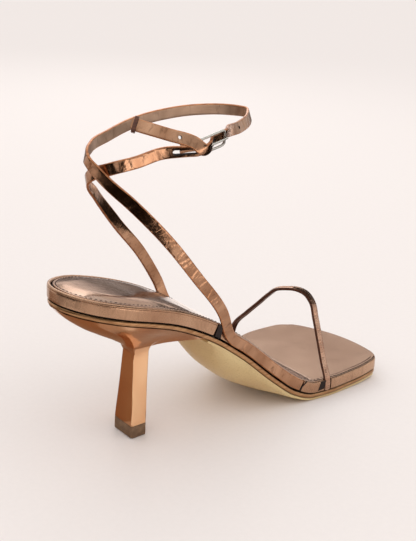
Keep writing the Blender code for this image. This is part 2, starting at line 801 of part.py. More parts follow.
def make_ankle_straps(paint):
    """Both ankle straps as one piece, joined where they cross behind the ankle."""
    half_hole = TONGUE_WIRE / 2 + TONGUE_SIDE_GAP
    points, looks = outer_strap_rows()
    outer = ribbon("ankle_straps", points, looks, STRAP_WIDTH, STRAP_THICK, paint)
    hole_at = -0.5 * MM
    aheads = (hole_at - TONGUE_HOLE / 2, hole_at + TONGUE_HOLE / 2)
    combine(outer, cutter("tongue_hole", at_buckle, aheads, half_hole, (-OVER_FOLD, OVER_FOLD * 2)), "DIFFERENCE")
    points, looks = inner_strap_rows()
    inner = ribbon("inner_strap_joined", points, looks, STRAP_WIDTH, STRAP_THICK, paint)
    aheads = (-SLOT_LENGTH, FOLD_RADIUS * 2)
    outs = (-FOLD_RADIUS * 3, FOLD_RADIUS * 3)
    combine(inner, cutter("tongue_slot", at_fold, aheads, SLOT_WIDTH / 2, outs), "DIFFERENCE")
    combine(outer, inner, "UNION")
    return outer


def combine(body, tool, operation):
    """Join a solid to another or cut it away, and drop the spare object."""
    step = body.modifiers.new("combine", "BOOLEAN")
    step.operation = operation
    step.solver = "EXACT"
    step.object = tool
    bpy.context.view_layer.update()
    evaluated = body.evaluated_get(bpy.context.evaluated_depsgraph_get())
    mesh = bpy.data.meshes.new_from_object(evaluated)
    body.modifiers.clear()
    body.data = mesh
    bpy.data.objects.remove(tool, do_unlink=True)


def wire(name, points, radius, paint, closed, sides=8):
    """Round wire along points that lie in one plane with the buckle's way or its face."""
    shape = bmesh.new()
    rings = []
    last = len(points) - 1
    across = plane_normal(points)
    for k, place in enumerate(points):
        before = points[k - 1] if closed or k > 0 else place
        after = points[(k + 1) % (last + 1)] if closed or k < last else place
        side = across.cross(after - before).normalized()
        ring = []
        for m in range(sides):
            angle = 2 * math.pi * (m + 0.5) / sides
            ring.append(shape.verts.new(place + (side * math.cos(angle) + across * math.sin(angle)) * radius))
        rings.append(ring)
    pairs = list(zip(rings, rings[1:]))
    if closed:
        pairs.append((rings[-1], rings[0]))
    for first, second in pairs:
        for m in range(sides):
            following = (m + 1) % sides
            shape.faces.new((first[m], first[following], second[following], second[m]))
    if not closed:
        shape.faces.new(rings[0][::-1])
        shape.faces.new(rings[-1])
    bmesh.ops.recalc_face_normals(shape, faces=shape.faces)
    return finish(name, shape, paint)


def plane_normal(points):
    first, second, third = points[0], points[len(points) // 3], points[2 * len(points) // 3]
    return (second - first).cross(third - first).normalized()


def make_buckle_frame(paint):
    """Rectangular wire frame, its corners round."""
    half_a = half_frame()
    half_u = (BUCKLE_WIDTH - WIRE) / 2
    points = []
    for sign_a, sign_u, turn in ((1, 1, 0), (-1, 1, 90), (-1, -1, 180), (1, -1, 270)):
        for k in range(5):
            angle = math.radians(turn + 90 * k / 4)
            ahead = sign_a * (half_a - BUCKLE_CORNER) + BUCKLE_CORNER * math.cos(angle)
            up = sign_u * (half_u - BUCKLE_CORNER) + BUCKLE_CORNER * math.sin(angle)
            points.append(at_buckle(ahead, up, 0.0))
    return wire("buckle_frame", points, WIRE / 2, paint, True)


def make_tongue(paint):
    """Buckle tongue: an eye round the frame's rear bar and a straight pin over its front bar."""
    bar = -half_frame()
    points = []
    for turn in range(-170, 91, 26):
        angle = math.radians(180 - turn)
        points.append(at_buckle(bar + TONGUE_LIFT * math.cos(angle), 0.0, TONGUE_LIFT * math.sin(angle)))
    for ahead in (bar + 4 * MM, bar + 9 * MM, half_frame() + TONGUE_REACH):
        points.append(at_buckle(ahead, 0.0, TONGUE_LIFT))
    return wire("buckle_tongue", points, TONGUE_WIRE / 2, paint, False)


def make_keeper(paint):
    """Small leather loop that rides near the end of the strap's tail."""
    points, looks = outer_strap_rows()
    end = points[-1]
    ahead = (points[-1] - points[-2]).normalized()
    out = (looks[-1] - ahead * looks[-1].dot(ahead)).normalized()
    up = out.cross(ahead)
    shape = bmesh.new()
    rings = []
    for grow in (0.0, KEEPER_THICK):
        for back in (KEEPER_FROM_END, KEEPER_FROM_END + KEEPER_LENGTH):
            half_u = STRAP_WIDTH / 2 + GAP + grow
            half_n = STRAP_THICK / 2 + GAP + grow
            corners = ((half_u, half_n), (-half_u, half_n), (-half_u, -half_n), (half_u, -half_n))
            rings.append([shape.verts.new(end - ahead * back + up * u + out * n) for u, n in corners])
    inner_front, inner_back, outer_front, outer_back = rings
    for first, second in ((inner_front, inner_back), (inner_back, outer_back), (outer_back, outer_front),
                          (outer_front, inner_front)):
        for k in range(4):
            following = (k + 1) % 4
            shape.faces.new((first[k], first[following], second[following], second[k]))
    bmesh.ops.recalc_face_normals(shape, faces=shape.faces)
    return finish("keeper_loop", shape, paint)


def make_toe_strap(paint):
    """Narrow folded strap that arches over the toes, its ends down in the footbed's sides."""
    base = top_height(TOE_STRAP_OUTER_AT)
    points = []
    looks = []
    low = FOOTBED_THICK - 0.4 * MM
    high = FOOTBED_THICK * 0.35
    for drop in (low, high):
        points.append(toe_anchor(1, drop))
        looks.append(side_look(TOE_STRAP_OUTER_AT, 1))
    for share, up in TOE_ARCH:
        across = share * BALL_WIDTH / 2
        along = toe_strap_along(across)
        points.append(Vector((across, along, base + up * TOE_STRAP_RISE)))
        looks.append(Vector((share * 1.3, 0.0, 0.15 + up)))
    for drop in (high, low):
        points.append(toe_anchor(-1, drop))
        looks.append(side_look(TOE_STRAP_INNER_AT, -1))
    return ribbon("toe_strap", points, looks, TOE_STRAP_WIDTH, TOE_STRAP_THICK, paint, 4 * MM, 0.4 * MM, 0.35 * MM)


def side_look(along, side):
    """The way the footbed's side faces at one place."""
    step = 1.0 * MM
    slope = (half_width(along + step, side) - half_width(along - step, side)) / (2 * step)
    return Vector((side, -slope, 0.0))


def toe_anchor(side, drop):
    """Point of the toe strap's end inside its notch in the footbed's side."""
    along = toe_strap_at(side)
    across = side * (half_width(along, side) - TOE_STRAP_THICK / 2)
    return on_sole(across, along, drop)


def toe_strap_along(across):
    """The strap runs straight between its two notches, seen from above."""
    outer = half_width(TOE_STRAP_OUTER_AT, 1)
    inner = -half_width(TOE_STRAP_INNER_AT, -1)
    share = (across - inner) / (outer - inner)
    return TOE_STRAP_INNER_AT + (TOE_STRAP_OUTER_AT - TOE_STRAP_INNER_AT) * share


def centre_on_floor():
    """Move every piece so that the origin lies on the floor, under the middle of the shoe."""
    corners = [vert.co for thing in bpy.data.objects for vert in thing.data.vertices]
    lows = [min(corner[axis] for corner in corners) for axis in range(3)]
    highs = [max(corner[axis] for corner in corners) for axis in range(3)]
    shift = Vector((-(lows[0] + highs[0]) / 2, -(lows[1] + highs[1]) / 2, -lows[2]))
    for thing in bpy.data.objects:
        thing.data.transform(Matrix.Translation(shift))


def main():
    clear_scene()
    copper = material("copper_mirror_leather", (0.50, 0.27, 0.17), 0.12, 1.0)
    sock_leather = material("copper_sock_leather", (0.45, 0.28, 0.20), 0.10, 0.9)
    edge_paint = material("copper_edge", (0.42, 0.23, 0.14), 0.30, 0.9)
    sole_tan = material("tan_outsole", (0.58, 0.42, 0.20), 0.55, 0.0)
    heel_copper = material("copper_heel", (0.55, 0.28, 0.15), 0.12, 1.0)
    rubber = material("brown_rubber", (0.11, 0.065, 0.03), 0.7, 0.0)
    make_footbed(copper)
    make_sock(sock_leather)
    make_rand(edge_paint)
    make_outsole(sole_tan)
    make_heel(heel_copper)
    make_top_piece(rubber)
    make_ankle_straps(copper)
    make_toe_strap(copper)
    steel = material("silver_buckle", (0.60, 0.58, 0.53), 0.25, 1.0)
    make_buckle_frame(steel)
    make_tongue(steel)
    make_keeper(copper)
    centre_on_floor()


main()
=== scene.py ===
import bpy
import bmesh
import math
from mathutils import Matrix, Vector


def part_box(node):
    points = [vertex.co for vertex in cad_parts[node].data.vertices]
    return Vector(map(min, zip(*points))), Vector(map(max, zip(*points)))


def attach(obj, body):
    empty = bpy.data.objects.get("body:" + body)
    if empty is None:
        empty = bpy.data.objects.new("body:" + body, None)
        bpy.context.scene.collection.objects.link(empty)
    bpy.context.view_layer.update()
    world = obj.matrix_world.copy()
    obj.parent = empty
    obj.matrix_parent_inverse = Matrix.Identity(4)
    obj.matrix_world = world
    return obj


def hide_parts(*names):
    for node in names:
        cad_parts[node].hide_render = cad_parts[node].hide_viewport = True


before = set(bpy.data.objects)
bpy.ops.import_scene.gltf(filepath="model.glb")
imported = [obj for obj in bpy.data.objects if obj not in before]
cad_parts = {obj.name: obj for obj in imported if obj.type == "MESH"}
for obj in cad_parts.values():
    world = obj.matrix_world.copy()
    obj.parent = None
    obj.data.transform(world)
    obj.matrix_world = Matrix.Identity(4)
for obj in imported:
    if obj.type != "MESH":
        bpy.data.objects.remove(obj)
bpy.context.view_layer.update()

# A strappy heeled sandal for the right foot, dressed over its CAD frame.
# Shapes are worked out in millimetres: y from the back of the heel to the toe,
# x from the middle line to the outer side, z up from the floor.


# Small helpers

def linear(hexColour):
    parts = [int(hexColour[k:k + 2], 16) / 255 for k in (1, 3, 5)]
    return tuple(c / 12.92 if c <= 0.04045 else ((c + 0.055) / 1.055) ** 2.4 for c in parts) + (1.0,)


def setInputs(tree, node, values=None, links=None):
    for key, value in (values or {}).items():
        node.inputs[key].default_value = value
    for key, source in (links or {}).items():
        tree.links.new(source, node.inputs[key])


def addNode(tree, kind, settings=None, values=None, links=None):
    node = tree.nodes.new(kind)
    for key, value in (settings or {}).items():
        setattr(node, key, value)
    setInputs(tree, node, values, links)
    return node


def setTones(ramp, deep, light, low, high):
    first, last = ramp.color_ramp.elements
    first.position, last.position = low, high
    first.color, last.color = linear(deep), linear(light)


def mixSteps(before, after, share):
    return before + (after - before) * share


def eased(share):
    share = min(max(share, 0.0), 1.0)
    return share * share * (3 - 2 * share)


# The last: everything on the sole is read from these sizes
lastShape = {
    "length": 225.0, "pitchRise": 84.5, "toeSpring": 2.5, "stack": 12.1,
    "seatWidth": 53.0, "waistWidth": 48.0, "ballWidth": 78.0, "toeWidth": 64.0,
    "seatRound": 36.0, "toeCorner": 6.0, "toeCrown": 5.8, "toeTrim": 2.0, "toeForemost": 15.0,
    "shankDome": 17.0,
}

planRows = (  # place along, width it follows, share of it, outer part
    (0.00, "seatWidth", 1.00, 0.52), (0.18, "seatWidth", 1.03, 0.52), (0.30, "seatWidth", 0.97, 0.53),
    (0.42, "waistWidth", 1.00, 0.55), (0.52, "waistWidth", 1.06, 0.56), (0.62, "ballWidth", 0.80, 0.53),
    (0.72, "ballWidth", 0.96, 0.50), (0.80, "ballWidth", 1.03, 0.49), (0.89, "ballWidth", 1.00, 0.503),
    (0.96, "toeWidth", 1.11, 0.535), (1.00, "toeWidth", 1.047, 0.537),
)
profileRows = (  # place along, share of the pitch, share of the toe spring
    (0.00, 1.000, 0.0), (0.13, 0.914, 0.0), (0.27, 0.796, 0.0), (0.40, 0.624, 0.0), (0.51, 0.418, 0.0),
    (0.62, 0.162, 0.0), (0.68, 0.045, 0.0), (0.73, 0.000, 0.0), (0.79, 0.000, 0.0), (0.88, 0.000, 0.20),
    (1.00, 0.000, 1.0),
)
domeRows = (  # place along, share of the shank's dome
    (0.00, 0.0), (0.40, 0.0), (0.44, 0.70), (0.48, 0.97), (0.52, 1.00), (0.62, 0.56), (0.68, 0.13),
    (0.72, 0.0), (1.00, 0.0),
)


class Curve:
    # A smooth line through rows of numbers that never swings past them
    def __init__(self, places, values):
        steps = [(b - a) / (q - p) for a, b, p, q in zip(values, values[1:], places, places[1:])]
        inner = [0.0 if a * b <= 0 else 2 * a * b / (a + b) for a, b in zip(steps, steps[1:])]
        self.places, self.values = places, values
        self.tangents = [steps[0]] + inner + [steps[-1]]

    def at(self, place):
        last = len(self.places) - 2
        i = max(k for k in range(last + 1) if k == 0 or self.places[k] <= place)
        span = self.places[i + 1] - self.places[i]
        t = (place - self.places[i]) / span
        rise = (2 * t ** 3 - 3 * t ** 2 + 1) * self.values[i] + (3 * t ** 2 - 2 * t ** 3) * self.values[i + 1]
        bend = (t ** 3 - 2 * t ** 2 + t) * self.tangents[i] + (t ** 3 - t ** 2) * self.tangents[i + 1]
        return rise + bend * span


planPlaces = [row[0] for row in planRows]
outerPlan = Curve(planPlaces, [lastShape[key] * share * part for _, key, share, part in planRows])
innerPlan = Curve(planPlaces, [lastShape[key] * share * (1 - part) for _, key, share, part in planRows])
profile = Curve([row[0] for row in profileRows],
                [lastShape["stack"] + row[1] * lastShape["pitchRise"] + row[2] * lastShape["toeSpring"]
                 for row in profileRows])
shankDome = Curve([row[0] for row in domeRows], [row[1] * lastShape["shankDome"] for row in domeRows])


def halfWidth(along, side):
    length, seatRound, corner = lastShape["length"], lastShape["seatRound"], lastShape["toeCorner"]
    width = (outerPlan if side > 0 else innerPlan).at(along / length)
    if along < seatRound:
        width *= math.sqrt(max(1 - (1 - along / seatRound) ** 2, 0.0))
    toFront = length - along
    if toFront < corner:
        width -= corner - math.sqrt(max(corner ** 2 - (corner - toFront) ** 2, 0.0))
    return width


def topHeight(along):
    return profile.at(min(max(along / lastShape["length"], 0.0), 1.0))


def onSole(across, along, drop):
    # A point that lies a given drop under the footbed's top, square to its slope, upright at the heel
    back = min(max(along, 0.0), lastShape["length"] - 0.5)
    rise = (topHeight(back + 0.5) - topHeight(back)) / 0.5
    stretch = math.hypot(1.0, rise)
    leans = eased(along / (lastShape["seatRound"] * 2))
    lower = drop * mixSteps(stretch, 1 / stretch, leans)
    return Vector((across, along + drop * rise / stretch * leans, topHeight(along) - lower))


def toeCrown(across, along):
    # The toe's front edge bows forward about its foremost point
    start = lastShape["length"] - 5 * lastShape["toeCorner"]
    share = max(along - start, 0.0) / (lastShape["length"] - start)
    offset = (across - lastShape["toeForemost"]) / (lastShape["toeWidth"] / 2)
    return -share ** 2 * (lastShape["toeTrim"] + lastShape["toeCrown"] * offset ** 2)


def soleStations(back, extra=()):
    # Places along the sole, close together round the heel and at the toe's corners
    seatRound, length, corner = lastShape["seatRound"], lastShape["length"], lastShape["toeCorner"]
    places = [seatRound * (1 - math.cos(math.pi / 2 * k / 30)) for k in range(30)]
    places += [seatRound + k * 1.5 for k in range(int((length - corner - seatRound) / 1.5))]
    places += [length - corner + corner * math.sin(math.pi / 2 * k / 10) for k in range(11)]
    places = [place for place in places if all(abs(place - other) > 0.25 for other in extra)]
    return [back] + [place for place in sorted(places + list(extra)) if back < place < length] + [length]


def soleOutline(back=0.0, stepIn=None, extra=()):
    # Up the outer side, over the toe, and back down the inner side
    outer, inner = [], []
    for place in soleStations(back, extra):
        for side, edge in ((1, outer), (-1, inner)):
            deep = stepIn(place, side) if stepIn else 0.0
            edge.append((side * max(halfWidth(place, side) - deep, 0.15), place))
    right, left = outer[-1], inner[-1]
    front = [(mixSteps(right[0], left[0], k / 24), right[1]) for k in range(1, 24)]
    return [(a, b + toeCrown(a, b)) for a, b in outer + front + inner[::-1]]


def inset(point, distance, back=0.0):
    # Moves a point of the outline in towards the sole's middle line
    across, along = point
    centreAlong = min(max(along, back + lastShape["seatRound"]), lastShape["length"] - lastShape["seatRound"])
    centreAcross = (halfWidth(centreAlong, 1) - halfWidth(centreAlong, -1)) / 2
    toward = Vector((centreAcross - across, centreAlong - along))
    if toward.length <= distance:
        return (centreAcross, centreAlong)
    moved = Vector(point) + toward.normalized() * distance
    return (moved.x, moved.y)


# The CAD's own heel top piece shows where the origin was put
heelShape = {
    "setOut": 2.5, "setIn": 49.0, "lean": 2.5, "stemWidth": 11.5, "stemDepth": 10.0, "tipWidth": 17.0,
    "tipDepth": 10.2, "stemHeight": 50.0, "topPieceHeight": 7.5, "cornerRadius": 0.9, "edgeInset": 0.9,
    "breastAt": 88.0, "waistAt": 0.55, "waistShare": 0.35,
}
lowTip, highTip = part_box("heel_top_piece")
toFrame = Vector(((lowTip[0] + highTip[0]) * 500 - heelShape["setOut"],
                  (lowTip[1] + highTip[1]) * 500 - heelShape["setIn"], lowTip[2] * 1000))


def meshPiece(name, points, faces, paints, faceSlots=None, patternPlaces=None, sharp=40.0):
    # One finished object: closed mesh, normals outwards, its place worked into its points
    mesh = bpy.data.meshes.new(name)
    mesh.from_pydata([(point + toFrame) * 0.001 for point in points], [], faces)
    for paint in paints:
        mesh.materials.append(paint)
    if faceSlots:
        mesh.polygons.foreach_set("material_index", faceSlots)
    if patternPlaces:
        layer = mesh.uv_layers.new(name="alongAndAcross")
        for loop in mesh.loops:
            layer.data[loop.index].uv = patternPlaces[loop.vertex_index]
    shape = bmesh.new()
    shape.from_mesh(mesh)
    bmesh.ops.remove_doubles(shape, verts=shape.verts, dist=1e-7)
    bmesh.ops.recalc_face_normals(shape, faces=shape.faces)
    shape.to_mesh(mesh)
    shape.free()
    mesh.shade_smooth()
    mesh.set_sharp_from_angle(angle=math.radians(sharp))
    piece = bpy.data.objects.new(name, mesh)
    bpy.context.collection.objects.link(piece)
    return piece


def stackFaces(ringCount, size, closed=False):
    # Faces between rings of the same size, each ring closed on itself
    faces = []
    for k in range(ringCount if closed else ringCount - 1):
        upper = (k + 1) % ringCount
        for m in range(size):
            n = (m + 1) % size
            faces.append((k * size + m, k * size + n, upper * size + n, upper * size + m))
    return faces


def stripFill(ring):
    # Strips between the two sides of a ring, so that the fill keeps the sole's bend
    faces = []
    k, m = 0, len(ring) - 1
    while k + 1 < m:
        corners = [ring[k], ring[k + 1], ring[m - 1], ring[m]]
        faces.append([c for i, c in enumerate(corners) if c not in corners[:i]])
        k, m = k + 1, m - 1
    return [face for face in faces if len(face) > 2]


def ringStack(name, rings, paints, sharp=40.0, slots=None):
    size = len(rings[0])
    faces = stackFaces(len(rings), size)
    last = (len(rings) - 1) * size
    ends = stripFill(list(range(size))) + stripFill([last + k for k in range(size)])
    faceSlots = None
    if slots:
        faceSlots = [slots[k // size] for k in range(len(faces))] + [slots[0]] * (len(ends) // 2)
        faceSlots += [slots[-1]] * (len(faces) + len(ends) - len(faceSlots))
    points = [point for ring in rings for point in ring]
    return meshPiece(name, points, faces + ends, paints, faceSlots, sharp=sharp)


# Materials

def newMaterial(name):
    made = bpy.data.materials.new(name)
    made.use_nodes = True
    tree = made.node_tree
    return made, tree, tree.nodes["Principled BSDF"], addNode(tree, "ShaderNodeTexCoord").outputs


def mirrorLeather(name, look):
    # Foil-faced calf: a metal film on leather, so it mirrors like copper but creases finely where it bends;
    # the film dulls a little on the creases, and the fold colour mixed into the crease troughs is painted
    # shade
    made, tree, shader, where = newMaterial(name)
    source = where["UV" if look["follows"] else "Object"]
    stretched = addNode(tree, "ShaderNodeMapping", None, {"Scale": look["stretch"]}, {"Vector": source})
    vector = stretched.outputs[0]
    cloud = addNode(tree, "ShaderNodeTexNoise", None, {"Scale": 1000 / look["cloudMm"], "Detail": 2.0},
                    {"Vector": vector})
    crinkle = addNode(tree, "ShaderNodeTexNoise", None,
                      {"Scale": 1000 / look["crinkleMm"], "Detail": 3.0, "Roughness": 0.55,
                       "Distortion": 0.6}, {"Vector": vector})
    grain = addNode(tree, "ShaderNodeTexVoronoi", None, {"Scale": 1000 / look["grainMm"]}, {"Vector": source})
    tones = addNode(tree, "ShaderNodeValToRGB", None, None, {"Fac": cloud.outputs["Fac"]})
    setTones(tones, look["deep"], look["light"], 0.35, 0.68)
    # Painted shade: the fold colour, by the fold shade share, darkens the troughs of the crinkle
    folds = addNode(tree, "ShaderNodeMapRange", None,
                    {"From Min": 0.30, "From Max": 0.46, "To Min": look["foldShade"], "To Max": 0.0},
                    {"Value": crinkle.outputs["Fac"]})
    creaseShaded = addNode(tree, "ShaderNodeMix", {"data_type": "RGBA"}, {7: linear(look["fold"])},
                     {0: folds.outputs[0], 6: tones.outputs[0]})
    gloss = addNode(tree, "ShaderNodeMapRange", None,
                    {"From Min": 0.3, "From Max": 0.7, "To Min": look["rough"] * 1.5,
                     "To Max": look["rough"]}, {"Value": crinkle.outputs["Fac"]})
    creased = addNode(tree, "ShaderNodeBump", None,
                      {"Strength": look["crinkleStrength"], "Distance": look["crinkleDeepMm"] * 0.001},
                      {"Height": crinkle.outputs["Fac"]})
    grained = addNode(tree, "ShaderNodeBump", None, {"Strength": look["grainStrength"], "Distance": 0.00004},
                      {"Height": grain.outputs["Distance"], "Normal": creased.outputs[0]})
    setInputs(tree, shader,
              {"Metallic": look["metal"], "Coat Weight": look["coat"], "Coat Roughness": 0.06,
               "Specular Tint": linear(look.get("tint", "#FFFFFF"))},
              {"Base Color": creaseShaded.outputs[2], "Roughness": gloss.outputs[0], "Normal": grained.outputs[0]})
    return made


copperLeather = mirrorLeather("foil-faced copper calf, creased", {
    "follows": True, "stretch": (1.0, 0.45, 1.0), "cloudMm": 16, "crinkleMm": 2.6, "grainMm": 0.7,
    "deep": "#93694D", "light": "#BC9172", "fold": "#53331F", "foldShade": 0.55, "rough": 0.14,
    "crinkleStrength": 0.55, "crinkleDeepMm": 0.35, "grainStrength": 0.25, "metal": 1.0, "coat": 0.15})
bandLeather = mirrorLeather("foil-faced copper calf, wrapped", {
    "follows": False, "stretch": (1.0, 1.0, 0.5), "cloudMm": 30, "crinkleMm": 3.2, "grainMm": 0.8,
    "deep": "#A57D61", "light": "#C09A7C", "fold": "#7A5740", "foldShade": 0.3, "rough": 0.22,
    "crinkleStrength": 0.35, "crinkleDeepMm": 0.22, "grainStrength": 0.3, "metal": 0.92, "coat": 0.15})
sockLeather = mirrorLeather("foil-faced copper calf, stretched over foam", {
    "follows": False, "stretch": (1.0, 1.0, 1.0), "cloudMm": 45, "crinkleMm": 14, "grainMm": 0.9,
    "deep": "#A18776", "light": "#B89E8C", "fold": "#86685A", "foldShade": 0.12, "rough": 0.13,
    "crinkleStrength": 0.25, "crinkleDeepMm": 0.5, "grainStrength": 0.2, "metal": 0.95, "coat": 0.05,
    "tint": "#D2CCCA"})
toeLeather = mirrorLeather("foil-faced copper calf, folded", {
    "follows": True, "stretch": (1.0, 0.35, 1.0), "cloudMm": 12, "crinkleMm": 2.0, "grainMm": 0.6,
    "deep": "#A67C64", "light": "#D0AA90", "fold": "#543222", "foldShade": 0.45, "rough": 0.22,
    "crinkleStrength": 0.6, "crinkleDeepMm": 0.3, "grainStrength": 0.25, "metal": 1.0, "coat": 0.25})
liningLeather = mirrorLeather("foil-faced copper calf, lining side", {
    "follows": True, "stretch": (1.0, 0.45, 1.0), "cloudMm": 20, "crinkleMm": 3.6, "grainMm": 0.7,
    "deep": "#A08068", "light": "#C4A38A", "fold": "#6A4834", "foldShade": 0.35, "rough": 0.26,
    "crinkleStrength": 0.22, "crinkleDeepMm": 0.3, "grainStrength": 0.25, "metal": 0.6, "coat": 0.1})


def edgeFinish(name, light, deep, streakMm, rough, metal, shine=0.5):
    # Edges that are painted and burnished by hand: fine streaks run along them
    made, tree, shader, where = newMaterial(name)
    stretched = addNode(tree, "ShaderNodeMapping", None, {"Scale": (0.15, 0.15, 1.0)},
                        {"Vector": where["Object"]})
    streaks = addNode(tree, "ShaderNodeTexNoise", None, {"Scale": 1000 / streakMm, "Detail": 4.0},
                      {"Vector": stretched.outputs[0]})
    tones = addNode(tree, "ShaderNodeValToRGB", None, None, {"Fac": streaks.outputs["Fac"]})
    setTones(tones, deep, light, 0.3, 0.7)
    gloss = addNode(tree, "ShaderNodeMapRange", None, {"To Min": rough * 0.8, "To Max": rough * 1.4},
                    {"Value": streaks.outputs["Fac"]})
    bump = addNode(tree, "ShaderNodeBump", None, {"Strength": 0.3, "Distance": 0.00005},
                   {"Height": streaks.outputs["Fac"]})
    setInputs(tree, shader,
              {"Metallic": metal, "Coat Weight": 0.2, "Coat Roughness": 0.15, "Specular IOR Level": shine},
              {"Base Color": tones.outputs[0], "Roughness": gloss.outputs[0], "Normal": bump.outputs[0]})
    return made


soleEdgePaint = edgeFinish("gold edge paint, burnished", "#BE9166", "#94663F", 0.9, 0.28, 0.85)
strapEdgePaint = edgeFinish("copper edge paint, burnished", "#C98A5C", "#8E5433", 0.7, 0.3, 0.8)
cordEdgePaint = edgeFinish("brown edge paint, burnished", "#6E402A", "#44261A", 0.7, 0.35, 0.5)
cordLining = edgeFinish("bare calf, dark copper", "#77452F", "#56301F", 0.9, 0.38, 0.55)
# The dark material is the stained cut edge of the punched holes, the tongue slot and the wrap's seam, and it
# is also painted shade in the footbed's recess, on its tucked lower edge and in the wrap's slits
darkEdgeAndShade = edgeFinish("stained cut edge and painted shade", "#2E1B14", "#170D09", 0.6, 0.6, 0.0, 0.15)


def outsoleFinish():
    # Lacquered leather sole: smooth tan lacquer with the faint fibre of the leather under it
    made, tree, shader, where = newMaterial("lacquered tan sole leather")
    fibre = addNode(tree, "ShaderNodeTexNoise", None, {"Scale": 1000 / 0.9, "Detail": 4.0},
                    {"Vector": where["Object"]})
    cloud = addNode(tree, "ShaderNodeTexNoise", None, {"Scale": 1000 / 40}, {"Vector": where["Object"]})
    tones = addNode(tree, "ShaderNodeValToRGB", None, None, {"Fac": cloud.outputs["Fac"]})
    setTones(tones, "#D2B27C", "#E2C890", 0.35, 0.7)
    fleck = addNode(tree, "ShaderNodeMapRange", None,
                    {"From Min": 0.3, "From Max": 0.5, "To Min": 0.25, "To Max": 0.0},
                    {"Value": fibre.outputs["Fac"]})
    mixed = addNode(tree, "ShaderNodeMix", {"data_type": "RGBA"}, {7: linear("#9C7A48")},
                    {0: fleck.outputs[0], 6: tones.outputs[0]})
    bump = addNode(tree, "ShaderNodeBump", None, {"Strength": 0.25, "Distance": 0.00005},
                   {"Height": fibre.outputs["Fac"]})
    setInputs(tree, shader, {"Roughness": 0.42, "IOR": 1.5, "Coat Weight": 0.15, "Coat Roughness": 0.3},
              {"Base Color": mixed.outputs[2], "Normal": bump.outputs[0]})
    return made


def heelFinish():
    # Moulded ABS heel, vacuum plated copper and clear lacquered: a near perfect mirror
    made, tree, shader, where = newMaterial("copper plated ABS, lacquered")
    sheen = addNode(tree, "ShaderNodeTexNoise", None, {"Scale": 1000 / 25, "Detail": 1.0},
                    {"Vector": where["Object"]})
    tones = addNode(tree, "ShaderNodeValToRGB", None, None, {"Fac": sheen.outputs["Fac"]})
    setTones(tones, "#E3A272", "#F6C698", 0.3, 0.7)
    speck = addNode(tree, "ShaderNodeTexNoise", None, {"Scale": 1000 / 1.2, "Detail": 2.0},
                    {"Vector": where["Object"]})
    gloss = addNode(tree, "ShaderNodeMapRange", None, {"To Min": 0.09, "To Max": 0.19},
                    {"Value": speck.outputs["Fac"]})
    bump = addNode(tree, "ShaderNodeBump", None, {"Strength": 0.12, "Distance": 0.0004},
                   {"Height": sheen.outputs["Fac"]})
    setInputs(tree, shader, {"Metallic": 1.0, "Coat Weight": 0.4, "Coat Roughness": 0.05},
              {"Base Color": tones.outputs[0], "Roughness": gloss.outputs[0], "Normal": bump.outputs[0]})
    return made


def rubberFinish():
    # Pressed rubber lift: matt, with a fine pebble from the mould and a paler scuff here and there
    made, tree, shader, where = newMaterial("brown rubber, pressed")
    pebble = addNode(tree, "ShaderNodeTexVoronoi", None, {"Scale": 1000 / 0.8}, {"Vector": where["Object"]})
    scuff = addNode(tree, "ShaderNodeTexNoise", None, {"Scale": 1000 / 4, "Detail": 5.0},
                    {"Vector": where["Object"]})
    tones = addNode(tree, "ShaderNodeValToRGB", None, None, {"Fac": scuff.outputs["Fac"]})
    setTones(tones, "#6A4E36", "#8C6C4E", 0.35, 0.75)
    bump = addNode(tree, "ShaderNodeBump", None, {"Strength": 0.4, "Distance": 0.0001},
                   {"Height": pebble.outputs["Distance"]})
    setInputs(tree, shader, {"Roughness": 0.62, "IOR": 1.52},
              {"Base Color": tones.outputs[0], "Normal": bump.outputs[0]})
    return made


def nickelFinish():
    # Die-cast buckle, nickel plated and tumbled: bright, with hair-fine scratches
    made, tree, shader, where = newMaterial("nickel plated zinc, tumbled")
    scratch = addNode(tree, "ShaderNodeTexNoise", None,
                      {"Scale": 1000 / 0.5, "Detail": 3.0, "Distortion": 1.5}, {"Vector": where["Object"]})
    tones = addNode(tree, "ShaderNodeValToRGB", None, None, {"Fac": scratch.outputs["Fac"]})
    setTones(tones, "#8F8B84", "#CFCBC3", 0.3, 0.7)
    gloss = addNode(tree, "ShaderNodeMapRange", None, {"To Min": 0.12, "To Max": 0.32},
                    {"Value": scratch.outputs["Fac"]})
    bump = addNode(tree, "ShaderNodeBump", None, {"Strength": 0.15, "Distance": 0.00003},
                   {"Height": scratch.outputs["Fac"]})
    setInputs(tree, shader, {"Metallic": 1.0},
              {"Base Color": tones.outputs[0], "Roughness": gloss.outputs[0], "Normal": bump.outputs[0]})
    return made


def threadFinish():
    # Bonded nylon thread: a tight twist that shows as fine slanted bands
    made, tree, shader, where = newMaterial("brown nylon thread, bonded")
    twist = addNode(tree, "ShaderNodeTexWave", {"bands_direction": "DIAGONAL"},
                    {"Scale": 1000 / 6, "Distortion": 0.5}, {"Vector": where["Object"]})
    tones = addNode(tree, "ShaderNodeValToRGB", None, None, {"Fac": twist.outputs["Fac"]})
    setTones(tones, "#2A1811", "#5A3A2A", 0.0, 1.0)
    bump = addNode(tree, "ShaderNodeBump", None, {"Strength": 0.5, "Distance": 0.00008},
                   {"Height": twist.outputs["Fac"]})
    setInputs(tree, shader, {"Roughness": 0.5, "IOR": 1.53},
              {"Base Color": tones.outputs[0], "Normal": bump.outputs[0]})
    return made


outsoleLeather = outsoleFinish()
heelPlate = heelFinish()
topRubber = rubberFinish()
nickel = nickelFinish()
thread = threadFinish()
print("materials made")

pieces = []


def stands(piece, nodes):
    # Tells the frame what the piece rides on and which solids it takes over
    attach(piece, "root")
    if nodes:
        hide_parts(*nodes)
    pieces.append(piece)


# Footbed: board wrapped in leather, its sides stepped in where the straps lie

